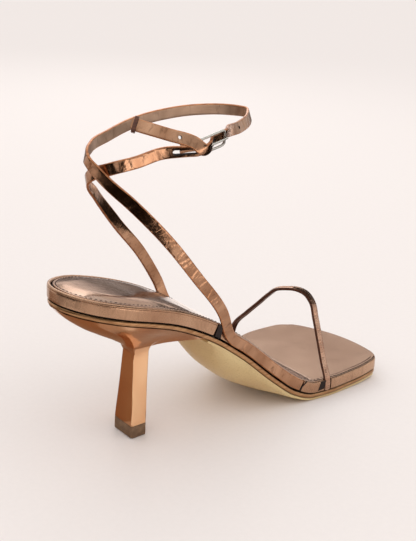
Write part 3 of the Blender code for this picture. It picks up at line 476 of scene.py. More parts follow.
bandShape = {
    "thick": 7.4, "rimWidth": 2.1, "rimRecess": 1.7, "rimRound": 1.0, "rimEnds": 86.0, "rimFade": 9.0,
    "edgeTuck": 0.5, "recess": 1.8, "toeNotch": 2.1, "bandFront": 154.0, "wrapExtra": 8.0,
    "outerBack": 90.0, "innerBack": 80.0,
    "toeOuterAt": 172.0, "toeInnerAt": 157.0, "toeHalfNotch": 2.5,
}


def tuckIn(along, side):
    # How far the footbed's side is stepped in where a strap lies
    deep = 0.0
    if bandShape["outerBack" if side > 0 else "innerBack"] < along < bandShape["bandFront"]:
        deep = bandShape["recess"]
    if abs(along - bandShape["toeOuterAt" if side > 0 else "toeInnerAt"]) < bandShape["toeHalfNotch"]:
        deep = bandShape["toeNotch"]
    return deep


def stepPlaces():
    # Stations just before and after each step, so that its edges stay crisp
    edges = []
    for side in ("outer", "inner"):
        toeAt = bandShape["toeOuterAt" if side == "outer" else "toeInnerAt"]
        for place in (bandShape[side + "Back"], bandShape["bandFront"], toeAt - bandShape["toeHalfNotch"],
                      toeAt + bandShape["toeHalfNotch"]):
            edges += [place - 0.15, place + 0.15]
    return sorted(set(edges))


def rimShare(along):
    # The rolled rim runs round the heel and fades out where the straps are let in
    return 1 - eased((along - bandShape["rimEnds"]) / bandShape["rimFade"])


def makeFootbed():
    b = bandShape
    base = soleOutline(0.0, tuckIn, stepPlaces())
    # Rows from the lower edge up: drop under the top, distance in from the side, and 1 on the rolled rim
    rows = [(b["thick"], b["edgeTuck"] + 0.3, 0), (b["thick"] - 0.15, b["edgeTuck"], 0),
            (b["thick"] - 0.5, 0.06, 0)]
    rows += [(mixSteps(b["thick"] - 0.9, 1.3, k / 6), 0.0, 0) for k in range(7)]
    rows += [(1.12, 0.05, 0), (1.02, 0.30, 1)]
    for k in range(13):
        turn = math.radians(mixSteps(-18, 172, k / 12))
        rows.append((0.62 - b["rimRound"] * math.sin(turn), 1.12 - b["rimRound"] * math.cos(turn), 1))
    rows += [(0.7, b["rimWidth"] + 0.12, 0), (b["rimRecess"], b["rimWidth"] + 0.3, 0)]

    def place(point, drop, distance, rolled):
        # Away from the heel the rim is a plain rounded edge
        plain = max(0.0, 1.0 - math.sqrt(max(0.0, 1.0 - (1.0 - min(distance, 1.0)) ** 2)))
        drop = mixSteps(plain, drop, rimShare(point[1])) if rolled else drop
        return onSole(*inset(point, distance), drop)

    rings = [[place(point, *row) for point in base] for row in rows]
    # The two bands at the tucked lower edge, where the band meets the sole edge, the two bands in the recess
    # beside the rolled rim and the fill across that recess take the dark material: painted shade in gap and
    # recess
    slots = [1, 1] + [0] * (len(rows) - 5) + [1, 1]
    piece = ringStack("wrappedFootbed", rings, [bandLeather, darkEdgeAndShade], slots=slots)
    stands(piece, ["footbed"])


makeFootbed()

# Sock: the glossy sheet on top, raised over a foam pad under the heel

sockShape = {"lie": 0.6, "thick": 1.0, "padCrown": 1.6, "padLength": 78.0, "edge": 3.0, "toeEdge": 0.8,
             "recess": 0.75}


def sockEdge(point):
    # The sheet is narrower where the straps' ends are let into the sides
    across, along = point
    side = 1 if across > 0 else -1
    back = bandShape["outerBack" if side > 0 else "innerBack"]
    front = bandShape["toeOuterAt" if side > 0 else "toeInnerAt"] + 4
    ease = min(max((along - back + 5) / 6, 0.0), 1.0) * min(max((front + 6 - along) / 6, 0.0), 1.0)
    edge = mixSteps(sockShape["toeEdge"], sockShape["edge"], rimShare(along))
    return edge + sockShape["recess"] * eased(ease)


def padHeight(along):
    # The foam pad under the heel thins out towards the arch
    share = min(max(along / sockShape["padLength"], 0.0), 1.0)
    return sockShape["padCrown"] * (1 - share ** 4)


def sockPoint(point, extra, padShare, drop):
    across, along = inset(point, sockEdge(point) + extra)
    return onSole(across, along, drop - padShare * padHeight(along))


def makeSock():
    lie, top = sockShape["lie"], sockShape["lie"] - sockShape["thick"]
    rows = [(0.0, 0.0, lie), (0.0, 0.0, mixSteps(lie, top, 0.55)), (0.12, 0.0, mixSteps(lie, top, 0.85)),
            (0.45, 0.0, top), (1.0, 0.02, top), (1.5, 0.0, top + 0.12), (2.0, 0.06, top)]
    for k in range(1, 13):
        share = k / 12
        rows.append((2.0 + 9.5 * share, 1 - (1 - share) ** 2.2, top))
    base = soleOutline()
    rings = [[sockPoint(point, extra, share, drop) for point in base] for extra, share, drop in rows]
    piece = ringStack("glossySock", rings, [sockLeather])
    stands(piece, ["sock"])


makeSock()
print("footbed and sock made")

# Sole edge, outsole and heel

soleShape = {
    "edgeTop": 8.0, "edgeBottom": 10.5, "edgeInset": 0.3, "outsoleTop": 10.8, "outsoleBottom": 12.1,
    "outsoleInset": 0.8, "heelTop": 10.8, "domeWide": 0.97, "domePower": 1.6,
}


def makeSoleEdge():
    s = soleShape
    rows = [(s["edgeBottom"], 0.9), (s["edgeBottom"] - 0.2, 0.45), (s["edgeBottom"] - 0.6, 0.06)]
    rows += [(s["edgeBottom"] - 1.2, 0.0), (s["edgeTop"] + 1.0, 0.02), (s["edgeTop"] + 0.45, 0.10),
             (s["edgeTop"] + 0.12, 0.28), (s["edgeTop"], 0.55)]
    base = soleOutline()
    rings = [[onSole(*inset(point, s["edgeInset"] + distance), drop) for point in base]
             for drop, distance in rows]
    stands(ringStack("paintedSoleEdge", rings, [soleEdgePaint]), ["sole_edge"])


def shrink(point, share):
    # Draws a point of the outsole's outline in by a share of its way to the middle line
    across, along = point
    centreAlong = min(along, lastShape["length"] - lastShape["seatRound"])
    centreAcross = (halfWidth(centreAlong, 1) - halfWidth(centreAlong, -1)) / 2
    return (mixSteps(across, centreAcross, share), mixSteps(along, centreAlong, share))


def makeOutsole():
    s = soleShape
    back = heelShape["breastAt"] + 0.3
    base = soleOutline(back)
    rings = []
    for k in range(24):
        inward = s["domeWide"] * (1 - k / 24) ** s["domePower"] + 0.004
        rise = math.sqrt(1 - (1 - inward) ** 2)
        ring = []
        for point in base:
            across, along = shrink(inset(point, s["outsoleInset"], back), inward)
            depth = shankDome.at(min(max(along / lastShape["length"], 0.0), 1.0))
            ring.append(onSole(across, along, s["outsoleBottom"]) - Vector((0.0, 0.0, rise * depth)))
        rings.append(ring)
    for drop, distance in ((s["outsoleBottom"] - 0.25, -0.02), (s["outsoleTop"] + 0.25, -0.02),
                           (s["outsoleTop"], 0.1)):
        rings.append([onSole(*inset(point, s["outsoleInset"] + distance, back), drop) for point in base])
    stands(ringStack("domedOutsole", rings, [outsoleLeather], 32.0), ["outsole"])


def blockRing(width, depth, radius, along, height, turns):
    # Rounded rectangle about the stem's middle
    ring = []
    for turn in turns:
        way = Vector((math.sin(turn), -math.cos(turn)))
        low, high = 0.0, width + depth
        for _ in range(30):
            reach = (low + high) / 2
            overX = max(abs(way.x) * reach - (width / 2 - radius), 0.0)
            overY = max(abs(way.y) * reach - (depth / 2 - radius), 0.0)
            if math.hypot(overX, overY) > radius:
                high = reach
            else:
                low = reach
        ring.append(Vector((heelShape["setOut"] + way.x * low, along + way.y * low, height)))
    return ring


def blockTurns():
    # Close turns at the stem's corners, wider ones on its flats
    corner = math.atan2(heelShape["stemWidth"] / 2, heelShape["stemDepth"] / 2)
    quarter = [corner * k / 6 for k in range(5)] + [corner + (k - 3) * 0.045 for k in range(7)]
    quarter += [mixSteps(corner, math.pi / 2, k / 6) for k in range(2, 7)]
    quarter = sorted(turn for turn in quarter if -1e-6 <= turn <= math.pi / 2 + 1e-6)
    half = quarter + [math.pi - turn for turn in quarter[-2:0:-1]] + [math.pi]
    return half + [2 * math.pi - turn for turn in half[-2:0:-1]]


def insideSeat(offset):
    across, along = heelShape["setOut"] + offset.x, heelShape["setIn"] + offset.y
    if not heelShape["edgeInset"] + 0.4 < along < heelShape["breastAt"]:
        return False
    return abs(across) < halfWidth(along, 1 if across >= 0 else -1) - heelShape["edgeInset"]


def seatRing(turns):
    # The heel's top edge, as far out as the seat goes each way
    ring = []
    for turn in turns:
        way = Vector((math.sin(turn), -math.cos(turn)))
        low, high = 0.0, 120.0
        for _ in range(26):
            reach = (low + high) / 2
            if insideSeat(way * reach):
                low = reach
            else:
                high = reach
        across, along = heelShape["setOut"] + way.x * low, heelShape["setIn"] + way.y * low
        ring.append(onSole(across, along, soleShape["heelTop"]))
    return ring


# Share of the way out to the seat's edge at each height, at the breast and at the back
flareRises = [0.0, 0.16, 0.32, 0.50, 0.68, 0.84, 1.0]
breastFlare = Curve(flareRises, [0.0, 0.03, 0.10, 0.24, 0.45, 0.72, 1.0])
backFlare = Curve(flareRises, [0.0, 0.10, 0.28, 0.52, 0.74, 0.89, 1.0])


def makeHeel():
    h = heelShape
    turns = blockTurns()
    foot = h["topPieceHeight"] + 0.3
    middleHeight = mixSteps(foot, h["stemHeight"], h["waistAt"])
    middleWidth = mixSteps(h["stemWidth"], h["tipWidth"], h["waistShare"])
    widths = Curve([foot, middleHeight, h["stemHeight"]], [h["tipWidth"], middleWidth, h["stemWidth"]])
    rings = []
    for k in range(15):
        share = k / 14
        height = mixSteps(foot, h["stemHeight"], share)
        depth = mixSteps(h["tipDepth"], h["stemDepth"], min(share / h["waistAt"], 1.0))
        rings.append(blockRing(widths.at(height), depth, h["cornerRadius"], h["setIn"] + h["lean"] * share,
                               height, turns))
    stem, seat = rings[-1], seatRing(turns)
    for k in range(1, 27):
        rise = k / 26
        ring = []
        for turn, low, high in zip(turns, stem, seat):
            out = mixSteps(breastFlare.at(rise), backFlare.at(rise), (1 + math.cos(turn)) / 2)
            flat = low.lerp(high, out)
            ring.append(Vector((flat.x, flat.y, mixSteps(low.z, high.z, rise))))
        rings.append(ring)
    size = len(turns)
    points = [point for ring in rings for point in ring]
    faces = stackFaces(len(rings), size) + [list(range(size))]
    previous = (len(rings) - 1) * size
    for share in (0.66, 0.33):
        start = len(points)
        for point in seat:
            across = h["setOut"] + (point.x - h["setOut"]) * share
            points.append(onSole(across, h["setIn"] + (point.y - h["setIn"]) * share, soleShape["heelTop"]))
        for m in range(size):
            n = (m + 1) % size
            faces.append((previous + m, previous + n, start + n, start + m))
        previous = start
    points.append(onSole(h["setOut"], h["setIn"], soleShape["heelTop"]))
    for m in range(size):
        faces.append((previous + m, previous + (m + 1) % size, len(points) - 1))
    stands(meshPiece("platedHeel", points, faces, [heelPlate], sharp=30.0), ["heel"])


def makeTopPiece():
    h = heelShape
    turns = blockTurns()
    top = h["topPieceHeight"]
    rows = [(0.0, 0.5), (0.15, 0.2), (0.5, 0.0), (top * 0.5, 0.0), (top - 0.4, 0.0), (top - 0.1, 0.08),
            (top, 0.3)]
    rings = [blockRing(h["tipWidth"] - 2 * drawn, h["tipDepth"] - 2 * drawn, h["cornerRadius"], h["setIn"],
                       height, turns) for height, drawn in rows]
    size = len(turns)
    faces = stackFaces(len(rings), size)
    faces += [list(range(size)), [(len(rings) - 1) * size + m for m in range(size)]]
    points = [point for ring in rings for point in ring]
    piece = meshPiece("rubberTopPiece", points, faces, [topRubber], sharp=50.0)
    stands(piece, ["heel_top_piece"])


makeSoleEdge()
makeOutsole()
makeHeel()
makeTopPiece()
print("sole and heel made")

# Straps

strapShape = {
    "width": 6.5, "thick": 1.5, "corner": 0.5, "leaves": 13.5, "loopWidth": 54.0, "loopDepth": 112.0,
    "loopBack": 20.0, "loopRise": 75.0, "wire": 1.4, "gap": 0.3, "buckleLength": 18.0, "buckleWidth": 10.6,
    "buckleCorner": 1.8, "tongueWire": 1.2, "foldTurn": 25.0, "foldBack": 9.0, "tongueReach": 1.0,
    "step": 0.8, "slimOver": 3.0, "slimTo": 0.62, "longSway": 0.22, "shortSway": 0.2,
}

outerRoute = (  # across, along and up as shares of the ankle loop, then the way the face looks
    (0.98, 0.647, -0.340, 1.00, -0.05, 0.05), (0.95, 0.48, -0.020, 1.00, -0.15, 0.10),
    (0.80, 0.31, 0.300, 1.00, -0.45, 0.15), (0.55, 0.155, 0.560, 0.90, -0.75, 0.10),
    (0.28, 0.035, 0.750, 0.50, -1.00, 0.00), (0.02, -0.005, 0.860, -0.10, -1.00, 0.00),
    (-0.28, 0.065, 0.905, -0.70, -0.85, 0.00), (-0.62, 0.215, 0.935, -1.00, -0.40, 0.00),
    (-0.90, 0.40, 0.970, -1.00, -0.12, 0.05), (-1.00, 0.60, 1.000, -1.00, 0.05, 0.10),
    (-0.90, 0.80, 1.015, -1.00, 0.40, 0.15), (-0.62, 0.95, 1.015, -0.60, 0.90, 0.20),
    (-0.30, 1.00, 1.010, 0.00, 1.00, 0.30), (0.04, 0.94, 0.995, 0.60, 0.85, 0.40),
    (0.40, 0.80, 0.975, 0.80, 0.60, 0.40), (0.62, 0.69, 0.985, 0.90, 0.45, 0.20),
    (0.83, 0.63, 1.000, 0.95, 0.20, -0.05),
)
innerRoute = (
    (-0.83, 0.571, -0.275, -1.00, -0.05, 0.05), (-0.82, 0.46, -0.020, -1.00, -0.10, 0.10),
    (-0.68, 0.28, 0.280, -1.00, -0.40, 0.15), (-0.42, 0.12, 0.550, -0.80, -0.80, 0.10),
    (-0.14, 0.030, 0.710, -0.30, -1.00, 0.05), (0.05, 0.035, 0.760, 0.10, -1.00, 0.00),
    (0.27, 0.049, 0.791, 0.45, -0.90, 0.00), (0.48, 0.074, 0.825, 0.85, -0.70, 0.00),
    (0.63, 0.152, 0.856, 0.98, -0.35, 0.00), (0.74, 0.286, 0.904, 1.00, -0.30, -0.05),
)
tailRoute = (
    (1.06, 0.395, 0.985, 0.95, -0.20, 0.25), (0.86, 0.290, 1.038, 0.85, -0.45, 0.50),
    (0.38, 0.170, 1.095, 0.80, -0.55, 0.45),
)
bucklePlace, buckleWay, buckleFace = (1.03, 0.503, 0.963), (0.06, 0.965, 0.25), (0.92, -0.05, -0.30)


def loopPoint(row):
    s = strapShape
    return Vector((row[0] * s["loopWidth"] / 2, s["loopBack"] + row[1] * s["loopDepth"],
                   topHeight(0.0) + row[2] * s["loopRise"]))


def atBuckle(ahead, up, out):
    # A point in the buckle's own directions, from its middle
    way = Vector(buckleWay).normalized()
    face = Vector(buckleFace)
    face = (face - way * face.dot(way)).normalized()
    return loopPoint(bucklePlace) + way * ahead + face.cross(way) * up + face * out


def buckleFaceWay():
    return (atBuckle(0, 0, 1) - atBuckle(0, 0, 0)).normalized()


halfFrame = (strapShape["buckleLength"] - strapShape["wire"]) / 2
foldRadius = strapShape["wire"] / 2 + strapShape["gap"] + strapShape["thick"] / 2
overFold = foldRadius + strapShape["thick"] + strapShape["gap"]
tongueLift = strapShape["wire"] / 2 + strapShape["gap"] + strapShape["tongueWire"] / 2


def atFold(ahead, up, out):
    # The same from the frame's rear bar, turned with the short strap's fold
    turn = math.radians(strapShape["foldTurn"])
    along = ahead * math.cos(turn) - out * math.sin(turn)
    return atBuckle(along - halfFrame, up, ahead * math.sin(turn) + out * math.cos(turn))


def bandPoints(side):
    # Each ankle strap starts in the footbed's side, half way up it
    start = bandShape["bandFront"] - 1.0
    leave = bandShape["outerBack" if side > 0 else "innerBack"] + strapShape["leaves"]
    points = []
    for k in range(6):
        along = mixSteps(start, leave, k / 5)
        across = side * (halfWidth(along, side) - strapShape["thick"] / 2)
        points.append(onSole(across, along, bandShape["thick"] / 2))
    return points, [Vector((side, 0.0, 0.05))] * 6


def longStrapRows():
    points, looks = bandPoints(1)
    for row in outerRoute:
        points.append(loopPoint(row))
        looks.append(Vector(row[3:]))
    for ahead, out in ((halfFrame + 1.0, -foldRadius), (halfFrame - 2.0, -foldRadius), (1.6, -0.9),
                       (-2.4, 2.4), (-6.0, overFold)):
        points.append(atBuckle(ahead, 0.0, out))
        looks.append(buckleFaceWay())
    for row in tailRoute:
        points.append(loopPoint(row))
        looks.append(Vector(row[3:]))
    return points, looks


def shortStrapRows():
    points, looks = bandPoints(-1)
    for row in innerRoute:
        points.append(loopPoint(row))
        looks.append(Vector(row[3:]))
    middle = atFold(0.0, 0.0, 0.0)
    steps = [(-strapShape["foldBack"] * 0.6, foldRadius)]
    steps += [(foldRadius * math.cos(math.radians(turn)), foldRadius * math.sin(math.radians(turn)))
              for turn in (90, 45, 0, -45, -90)]
    steps.append((-strapShape["foldBack"], -foldRadius))
    for ahead, out in steps:
        points.append(atFold(ahead, 0.0, out))
        looks.append(atFold(max(ahead, 0.0), 0.0, out) - middle)
    return points, looks


def smoothRoute(points, looks, spacing):
    # A smooth line through the given points, its face turning evenly from one to the next
    chords = [(after - before).length for before, after in zip(points, points[1:])]
    steps = [(after - before) / chord for before, after, chord in zip(points, points[1:], chords)]
    waysAt = [steps[0]]
    for before, after, back, front in zip(steps, steps[1:], chords, chords[1:]):
        waysAt.append((before * front + after * back) / (back + front))
    waysAt.append(steps[-1])
    route, ways = [], []
    for i, chord in enumerate(chords):
        parts = max(3, round(chord / spacing))
        for k in range(parts):
            t = k / parts
            ease = eased(t)
            bend = waysAt[i] * (t ** 3 - 2 * t ** 2 + t) + waysAt[i + 1] * (t ** 3 - t ** 2)
            route.append(points[i].lerp(points[i + 1], ease) + bend * chord)
            ways.append(looks[i].normalized().lerp(looks[i + 1].normalized(), ease))
    return route + [points[-1].copy()], ways + [looks[-1].normalized()]


def routeFrames(points, looks):
    # Place, way ahead, way across, way out and distance travelled, at close steps
    route, ways = smoothRoute(points, looks, strapShape["step"])
    frames, travelled = [], 0.0
    for k, place in enumerate(route):
        ahead = (route[min(k + 1, len(route) - 1)] - route[max(k - 1, 0)]).normalized()
        out = (ways[k] - ahead * ways[k].dot(ahead)).normalized()
        if k:
            travelled += (place - route[k - 1]).length
        frames.append((place, ahead, out.cross(ahead), out, travelled))
    return frames


def strapSection(width, thick, corner):
    # Points of a flat strap's section with the slot of each side: 0 face, 1 lining, 2 edge
    flatU, flatN = width / 2 - corner, thick / 2 - corner
    section = []

    def roundCorner(signU, signN, start):
        for k in (1, 2, 3):
            turn = math.radians(start + 22.5 * k)
            u, n = signU * flatU + corner * math.cos(turn), signN * flatN + corner * math.sin(turn)
            section.append((u, n, 2))

    section += [(mixSteps(flatU, -flatU, k / 8), thick / 2, 0) for k in range(9)]
    roundCorner(-1, 1, 90)
    section += [(-width / 2, flatN, 2), (-width / 2, -flatN, 2)]
    roundCorner(-1, -1, 180)
    section += [(mixSteps(-flatU, flatU, k / 6), -thick / 2, 1) for k in range(7)]
    roundCorner(1, -1, 270)
    section += [(width / 2, -flatN, 2), (width / 2, flatN, 2)]
    roundCorner(1, 1, 0)
    return section


def creaseLift(creases, travelled, across):
    # Soft troughs at the listed places: distance along, depth, half width and slant of each
    lift = 0.0
    for along, deep, halfWide, slant in creases:
        off = (travelled - along - slant * across) / halfWide
        if abs(off) < 2.5:
            lift += -deep * math.exp(-off * off * 2) + deep * 0.45 * math.exp(-((abs(off) - 1.2) ** 2) * 4)
    return lift


def strapMesh(name, rows, section, paints, creases, wave, slimEnd=False):
    frames = routeFrames(*rows)
    total = frames[-1][4]
    points, places = [], []
    for place, ahead, up, out, travelled in frames:
        toEnd = total - travelled
        slim = 1.0
        if slimEnd and toEnd < strapShape["slimOver"]:
            rounded = math.sqrt(max(1 - (1 - toEnd / strapShape["slimOver"]) ** 2, 0.0))
            slim = mixSteps(strapShape["slimTo"], 1.0, rounded)
        sway = wave * math.sin(travelled / 9.1 + 0.6) * math.sin(travelled / 23.0)
        for u, n, kind in section:
            lift = creaseLift(creases, travelled, u) if kind == 0 else 0.0
            cup = sway * (u / 3.0) ** 2 * 0.5
            points.append(place + up * (u * slim) + out * (n + lift + cup + sway * 0.6))
            places.append((travelled * 0.001, u * 0.001))
    size = len(section)
    faces = stackFaces(len(frames), size)
    slots = []
    for m in range(size):
        here, there = section[m][2], section[(m + 1) % size][2]
        slots.append(here if here == there else 2)
    faceSlots = [slots[k % size] for k in range(len(faces))] + [2, 2]
    faces += [list(range(size)), [(len(frames) - 1) * size + m for m in range(size)]]
    return meshPiece(name, points, faces, paints, faceSlots, places, 50.0)


def prism(name, middle, across, through, outlinePoints, halfDeep):
    # Straight-sided cutter with a given outline, in the two directions given
    ahead = across.cross(through).normalized()
    points = []
    for depth in (-halfDeep, halfDeep):
        points += [middle + ahead * a + across * b + through * depth for a, b in outlinePoints]
    size = len(outlinePoints)
    faces = [list(range(size)), [size + k for k in range(size)]] + stackFaces(2, size)
    return meshPiece(name, points, faces, [copperLeather, liningLeather, darkEdgeAndShade], [2] * (size + 2))


def stadium(length, width):
    # Outline of a slot with round ends
    half = (length - width) / 2
    outline = []
    for k in range(9):
        turn = -math.pi / 2 + math.pi * k / 8
        outline.append((half + width / 2 * math.cos(turn), width / 2 * math.sin(turn)))
    return outline + [(-a, -b) for a, b in outline]


def cut(piece, cutters):
    # Cuts the holes, keeps the result as a plain mesh and takes the cutters away
    for cutter in cutters:
        step = piece.modifiers.new("cut", "BOOLEAN")
        step.operation, step.solver, step.object = "DIFFERENCE", "EXACT", cutter
    bpy.context.view_layer.update()
    mesh = bpy.data.meshes.new_from_object(piece.evaluated_get(bpy.context.evaluated_depsgraph_get()))
    piece.modifiers.clear()
    piece.data = mesh
    for cutter in cutters:
        bpy.data.objects.remove(cutter, do_unlink=True)
    mesh.shade_smooth()
    mesh.set_sharp_from_angle(angle=math.radians(50))


longCreases = (  # distance along, depth, half width and slant
    (47.0, 0.22, 1.2, 0.10), (60.5, 0.20, 0.9, -0.25), (67.0, 0.25, 1.1, 0.2), (73.4, 0.30, 0.9, 0.3),
    (75.9, 0.18, 0.7, -0.2), (87.6, 0.34, 0.9, 0.35), (90.4, 0.22, 0.8, 0.1), (95.8, 0.30, 0.9, -0.3),
    (104.0, 0.14, 1.1, 0.25), (112.5, 0.16, 1.0, -0.2), (119.9, 0.34, 0.8, 0.2), (122.6, 0.24, 0.8, 0.35),
    (126.9, 0.26, 0.9, -0.15), (135.0, 0.14, 1.3, 0.3), (148.9, 0.22, 1.1, -0.3), (152.5, 0.16, 1.2, 0.1),
    (166.0, 0.14, 1.6, 0.2), (200.0, 0.12, 1.8, -0.2), (231.0, 0.14, 1.5, 0.2), (262.0, 0.12, 1.6, -0.1),
    (300.5, 0.2, 1.2, 0.3), (304.1, 0.24, 1.1, 0.1), (326.1, 0.16, 1.4, -0.2), (345.0, 0.18, 1.2, 0.2),
    (352.0, 0.16, 1.0, -0.25), (380.0, 0.14, 1.0, 0.1), (414.0, 0.12, 1.4, 0.2),
)
shortCreases = (
    (64.0, 0.22, 1.0, 0.3), (76.6, 0.16, 1.1, -0.2), (91.9, 0.20, 0.9, 0.25), (103.5, 0.30, 0.9, 0.3),
    (106.8, 0.24, 0.8, -0.2), (115.9, 0.24, 1.0, 0.2), (127.0, 0.16, 1.2, -0.3), (138.2, 0.24, 1.0, 0.3),
    (142.0, 0.16, 1.0, 0.1), (160.3, 0.14, 1.4, -0.2), (189.0, 0.12, 1.6, 0.2), (213.8, 0.16, 1.3, -0.2),
    (222.0, 0.18, 1.0, 0.25), (229.0, 0.14, 1.1, -0.1),
)
punchShape = {"hole": 1.9, "slotLength": 15.0, "slotWidth": 2.8, "tongueHole": 7.0, "tongueHoleWidth": 2.1,
              "at": (358.2, 371.9, 419.4)}


def makeAnkleStraps():
    s = strapShape
    section = strapSection(s["width"], s["thick"], s["corner"])
    extra = bandShape["wrapExtra"]  # folds and holes are placed from this far along each strap
    longFolds = [(at + extra, *rest) for at, *rest in longCreases]
    shortFolds = [(at + extra, *rest) for at, *rest in shortCreases]
    longStrap = strapMesh("longAnkleStrap", longStrapRows(), section,
                          [copperLeather, liningLeather, strapEdgePaint, darkEdgeAndShade],
                          longFolds, s["longSway"], slimEnd=True)
    shortStrap = strapMesh("shortAnkleStrap", shortStrapRows(), section,
                           [copperLeather, copperLeather, strapEdgePaint, darkEdgeAndShade],
                           shortFolds, s["shortSway"])
    face = buckleFaceWay()
    up = (atBuckle(0, 1, 0) - atBuckle(0, 0, 0)).normalized()
    tongueHole = stadium(punchShape["tongueHole"], punchShape["tongueHoleWidth"])
    cutters = [prism("tongueHole", atBuckle(-0.5, 0, 0), up, face, tongueHole, 7.0)]
    frames = routeFrames(*longStrapRows())
    for at in punchShape["at"]:
        place, ahead, across, out, _ = min(frames, key=lambda item: abs(item[4] - extra - at))
        radius, turns = punchShape["hole"] / 2, [2 * math.pi * k / 20 for k in range(20)]
        ring = [(radius * math.cos(turn), radius * math.sin(turn)) for turn in turns]
        cutters.append(prism("punchedHole", place, across, out, ring, 2.5))
    cut(longStrap, cutters)
    foldFace = (atFold(0, 0, 1) - atFold(0, 0, 0)).normalized()
    middle = atFold(-punchShape["slotLength"] / 2 + foldRadius + 0.8, 0, 0)
    cut(shortStrap, [prism("tongueSlot", middle, up, foldFace,
                           stadium(punchShape["slotLength"] + 2, punchShape["slotWidth"]), 5.2)])
    stands(longStrap, ["ankle_straps"])
    stands(shortStrap, ["ankle_straps"])


makeAnkleStraps()
print("ankle straps made")

# Toe strap: one narrow strip folded into a raised ridge

toeStrapShape = {"width": 4.4, "thick": 1.8, "corner": 0.45, "rise": 50.0, "ridge": 0.55, "groove": 0.18,
                 "sway": 0.08}
# Across as a share of half the ball, and up as a share of the rise
toeArch = ((0.865, 0.22), (0.775, 0.45), (0.655, 0.74), (0.565, 0.93), (0.45, 1.01), (0.30, 1.03),
           (0.10, 1.00), (-0.08, 0.945), (-0.25, 0.82), (-0.42, 0.67), (-0.63, 0.49), (-0.84, 0.29))
toeCreases = ((30.0, 0.12, 0.9, 0.4), (38.0, 0.14, 0.8, -0.3), (47.5, 0.12, 0.9, 0.4), (56.0, 0.16, 1.0, 0.3),
              (70.0, 0.12, 1.1, -0.3), (92.0, 0.1, 1.2, 0.3), (118.0, 0.12, 1.0, 0.3))


def toeStrapRows():
    points, looks = [], []
    outer, inner = bandShape["toeOuterAt"], bandShape["toeInnerAt"]

    def anchor(side, along, drop):
        across = side * (halfWidth(along, side) - toeStrapShape["thick"] / 2)
        points.append(onSole(across, along, drop))
        looks.append(Vector((side, -(halfWidth(along + 1, side) - halfWidth(along - 1, side)) / 2, 0.0)))

    low, high = bandShape["thick"] - 0.4, bandShape["thick"] * 0.35
    anchor(1, outer, low)
    anchor(1, outer, high)
    for share, up in toeArch:
        across = share * lastShape["ballWidth"] / 2
        turn = (across + halfWidth(inner, -1)) / (halfWidth(outer, 1) + halfWidth(inner, -1))
        height = topHeight(outer) + up * toeStrapShape["rise"]
        points.append(Vector((across, mixSteps(inner, outer, turn), height)))
        looks.append(Vector((share * 1.3, 0.0, 0.15 + up)))
    anchor(-1, inner, high)
    anchor(-1, inner, low)
    return points, looks


def makeToeStrap():
    t = toeStrapShape
    section = []
    for u, n, kind in strapSection(t["width"], t["thick"], t["corner"]):
        if kind == 0:
            n += t["ridge"] * math.exp(-((u - 0.2) / 0.75) ** 2)
            n -= t["groove"] * math.exp(-((u + 1.15) / 0.3) ** 2)
        section.append((u, n, kind))
    piece = strapMesh("foldedToeStrap", toeStrapRows(), section, [toeLeather, cordLining, cordEdgePaint],
                      toeCreases, t["sway"])
    stands(piece, ["toe_strap"])


makeToeStrap()

# Buckle frame, tongue and keeper


def wirePiece(name, points, radius, paint, closed, flatten=None):
    # Round wire along a flat path; flatten says how narrow and how thin it gets on its way
    count, sides = len(points), 16
    normal = (points[count // 3] - points[0]).cross(points[2 * count // 3] - points[0]).normalized()
    verts = []
    for k, place in enumerate(points):
        before = points[k - 1] if closed or k else place
        after = points[(k + 1) % count] if closed or k < count - 1 else place
        side = normal.cross(after - before).normalized()
        thin = flatten(k / (count - 1)) if flatten else (1.0, 1.0)
        for m in range(sides):
            turn = 2 * math.pi * (m + 0.5) / sides
            spoke = side * (math.cos(turn) * thin[0]) + normal * (math.sin(turn) * thin[1])
            verts.append(place + spoke * radius)
    faces = stackFaces(count, sides, closed)
    if not closed:
        faces += [list(range(sides)), [(count - 1) * sides + m for m in range(sides)]]
    return meshPiece(name, verts, faces, [paint], sharp=50.0)


# The four corners of a rounded rectangle: signs of its two directions and where each turn starts
roundedCorners = ((1, 1, 0), (-1, 1, 90), (-1, -1, 180), (1, -1, 270))


def slimTip(share):
    # The tongue's wire is pressed flatter and narrower at its tip
    return (1.0, 1.0) if share < 0.93 else (mixSteps(1.0, 0.55, (share - 0.93) / 0.07), 0.85)


def makeBuckle():
    s = strapShape
    halfUp, corner = (s["buckleWidth"] - s["wire"]) / 2, s["buckleCorner"]
    points = []
    for signA, signU, start in roundedCorners:
        for k in range(10):
            turn = math.radians(start + 10 * k)
            points.append(atBuckle(signA * (halfFrame - corner) + corner * math.cos(turn),
                                   signU * (halfUp - corner) + corner * math.sin(turn), 0.0))
    stands(wirePiece("buckleFrame", points, s["wire"] / 2, nickel, True), ["buckle_frame"])
    points = []
    for turn in range(-170, 91, 13):
        angle = math.radians(180 - turn)
        points.append(atBuckle(-halfFrame + tongueLift * math.cos(angle), 0.0, tongueLift * math.sin(angle)))
    for k in range(1, 13):
        ahead = mixSteps(-halfFrame, halfFrame + s["tongueReach"], k / 12)
        points.append(atBuckle(ahead, 0.0, tongueLift))
    tongue = wirePiece("buckleTongue", points, s["tongueWire"] / 2, nickel, False, slimTip)
    stands(tongue, ["buckle_tongue"])


keeperShape = {"length": 2.0, "fromEnd": 0.9, "room": 0.65, "corner": 0.6}


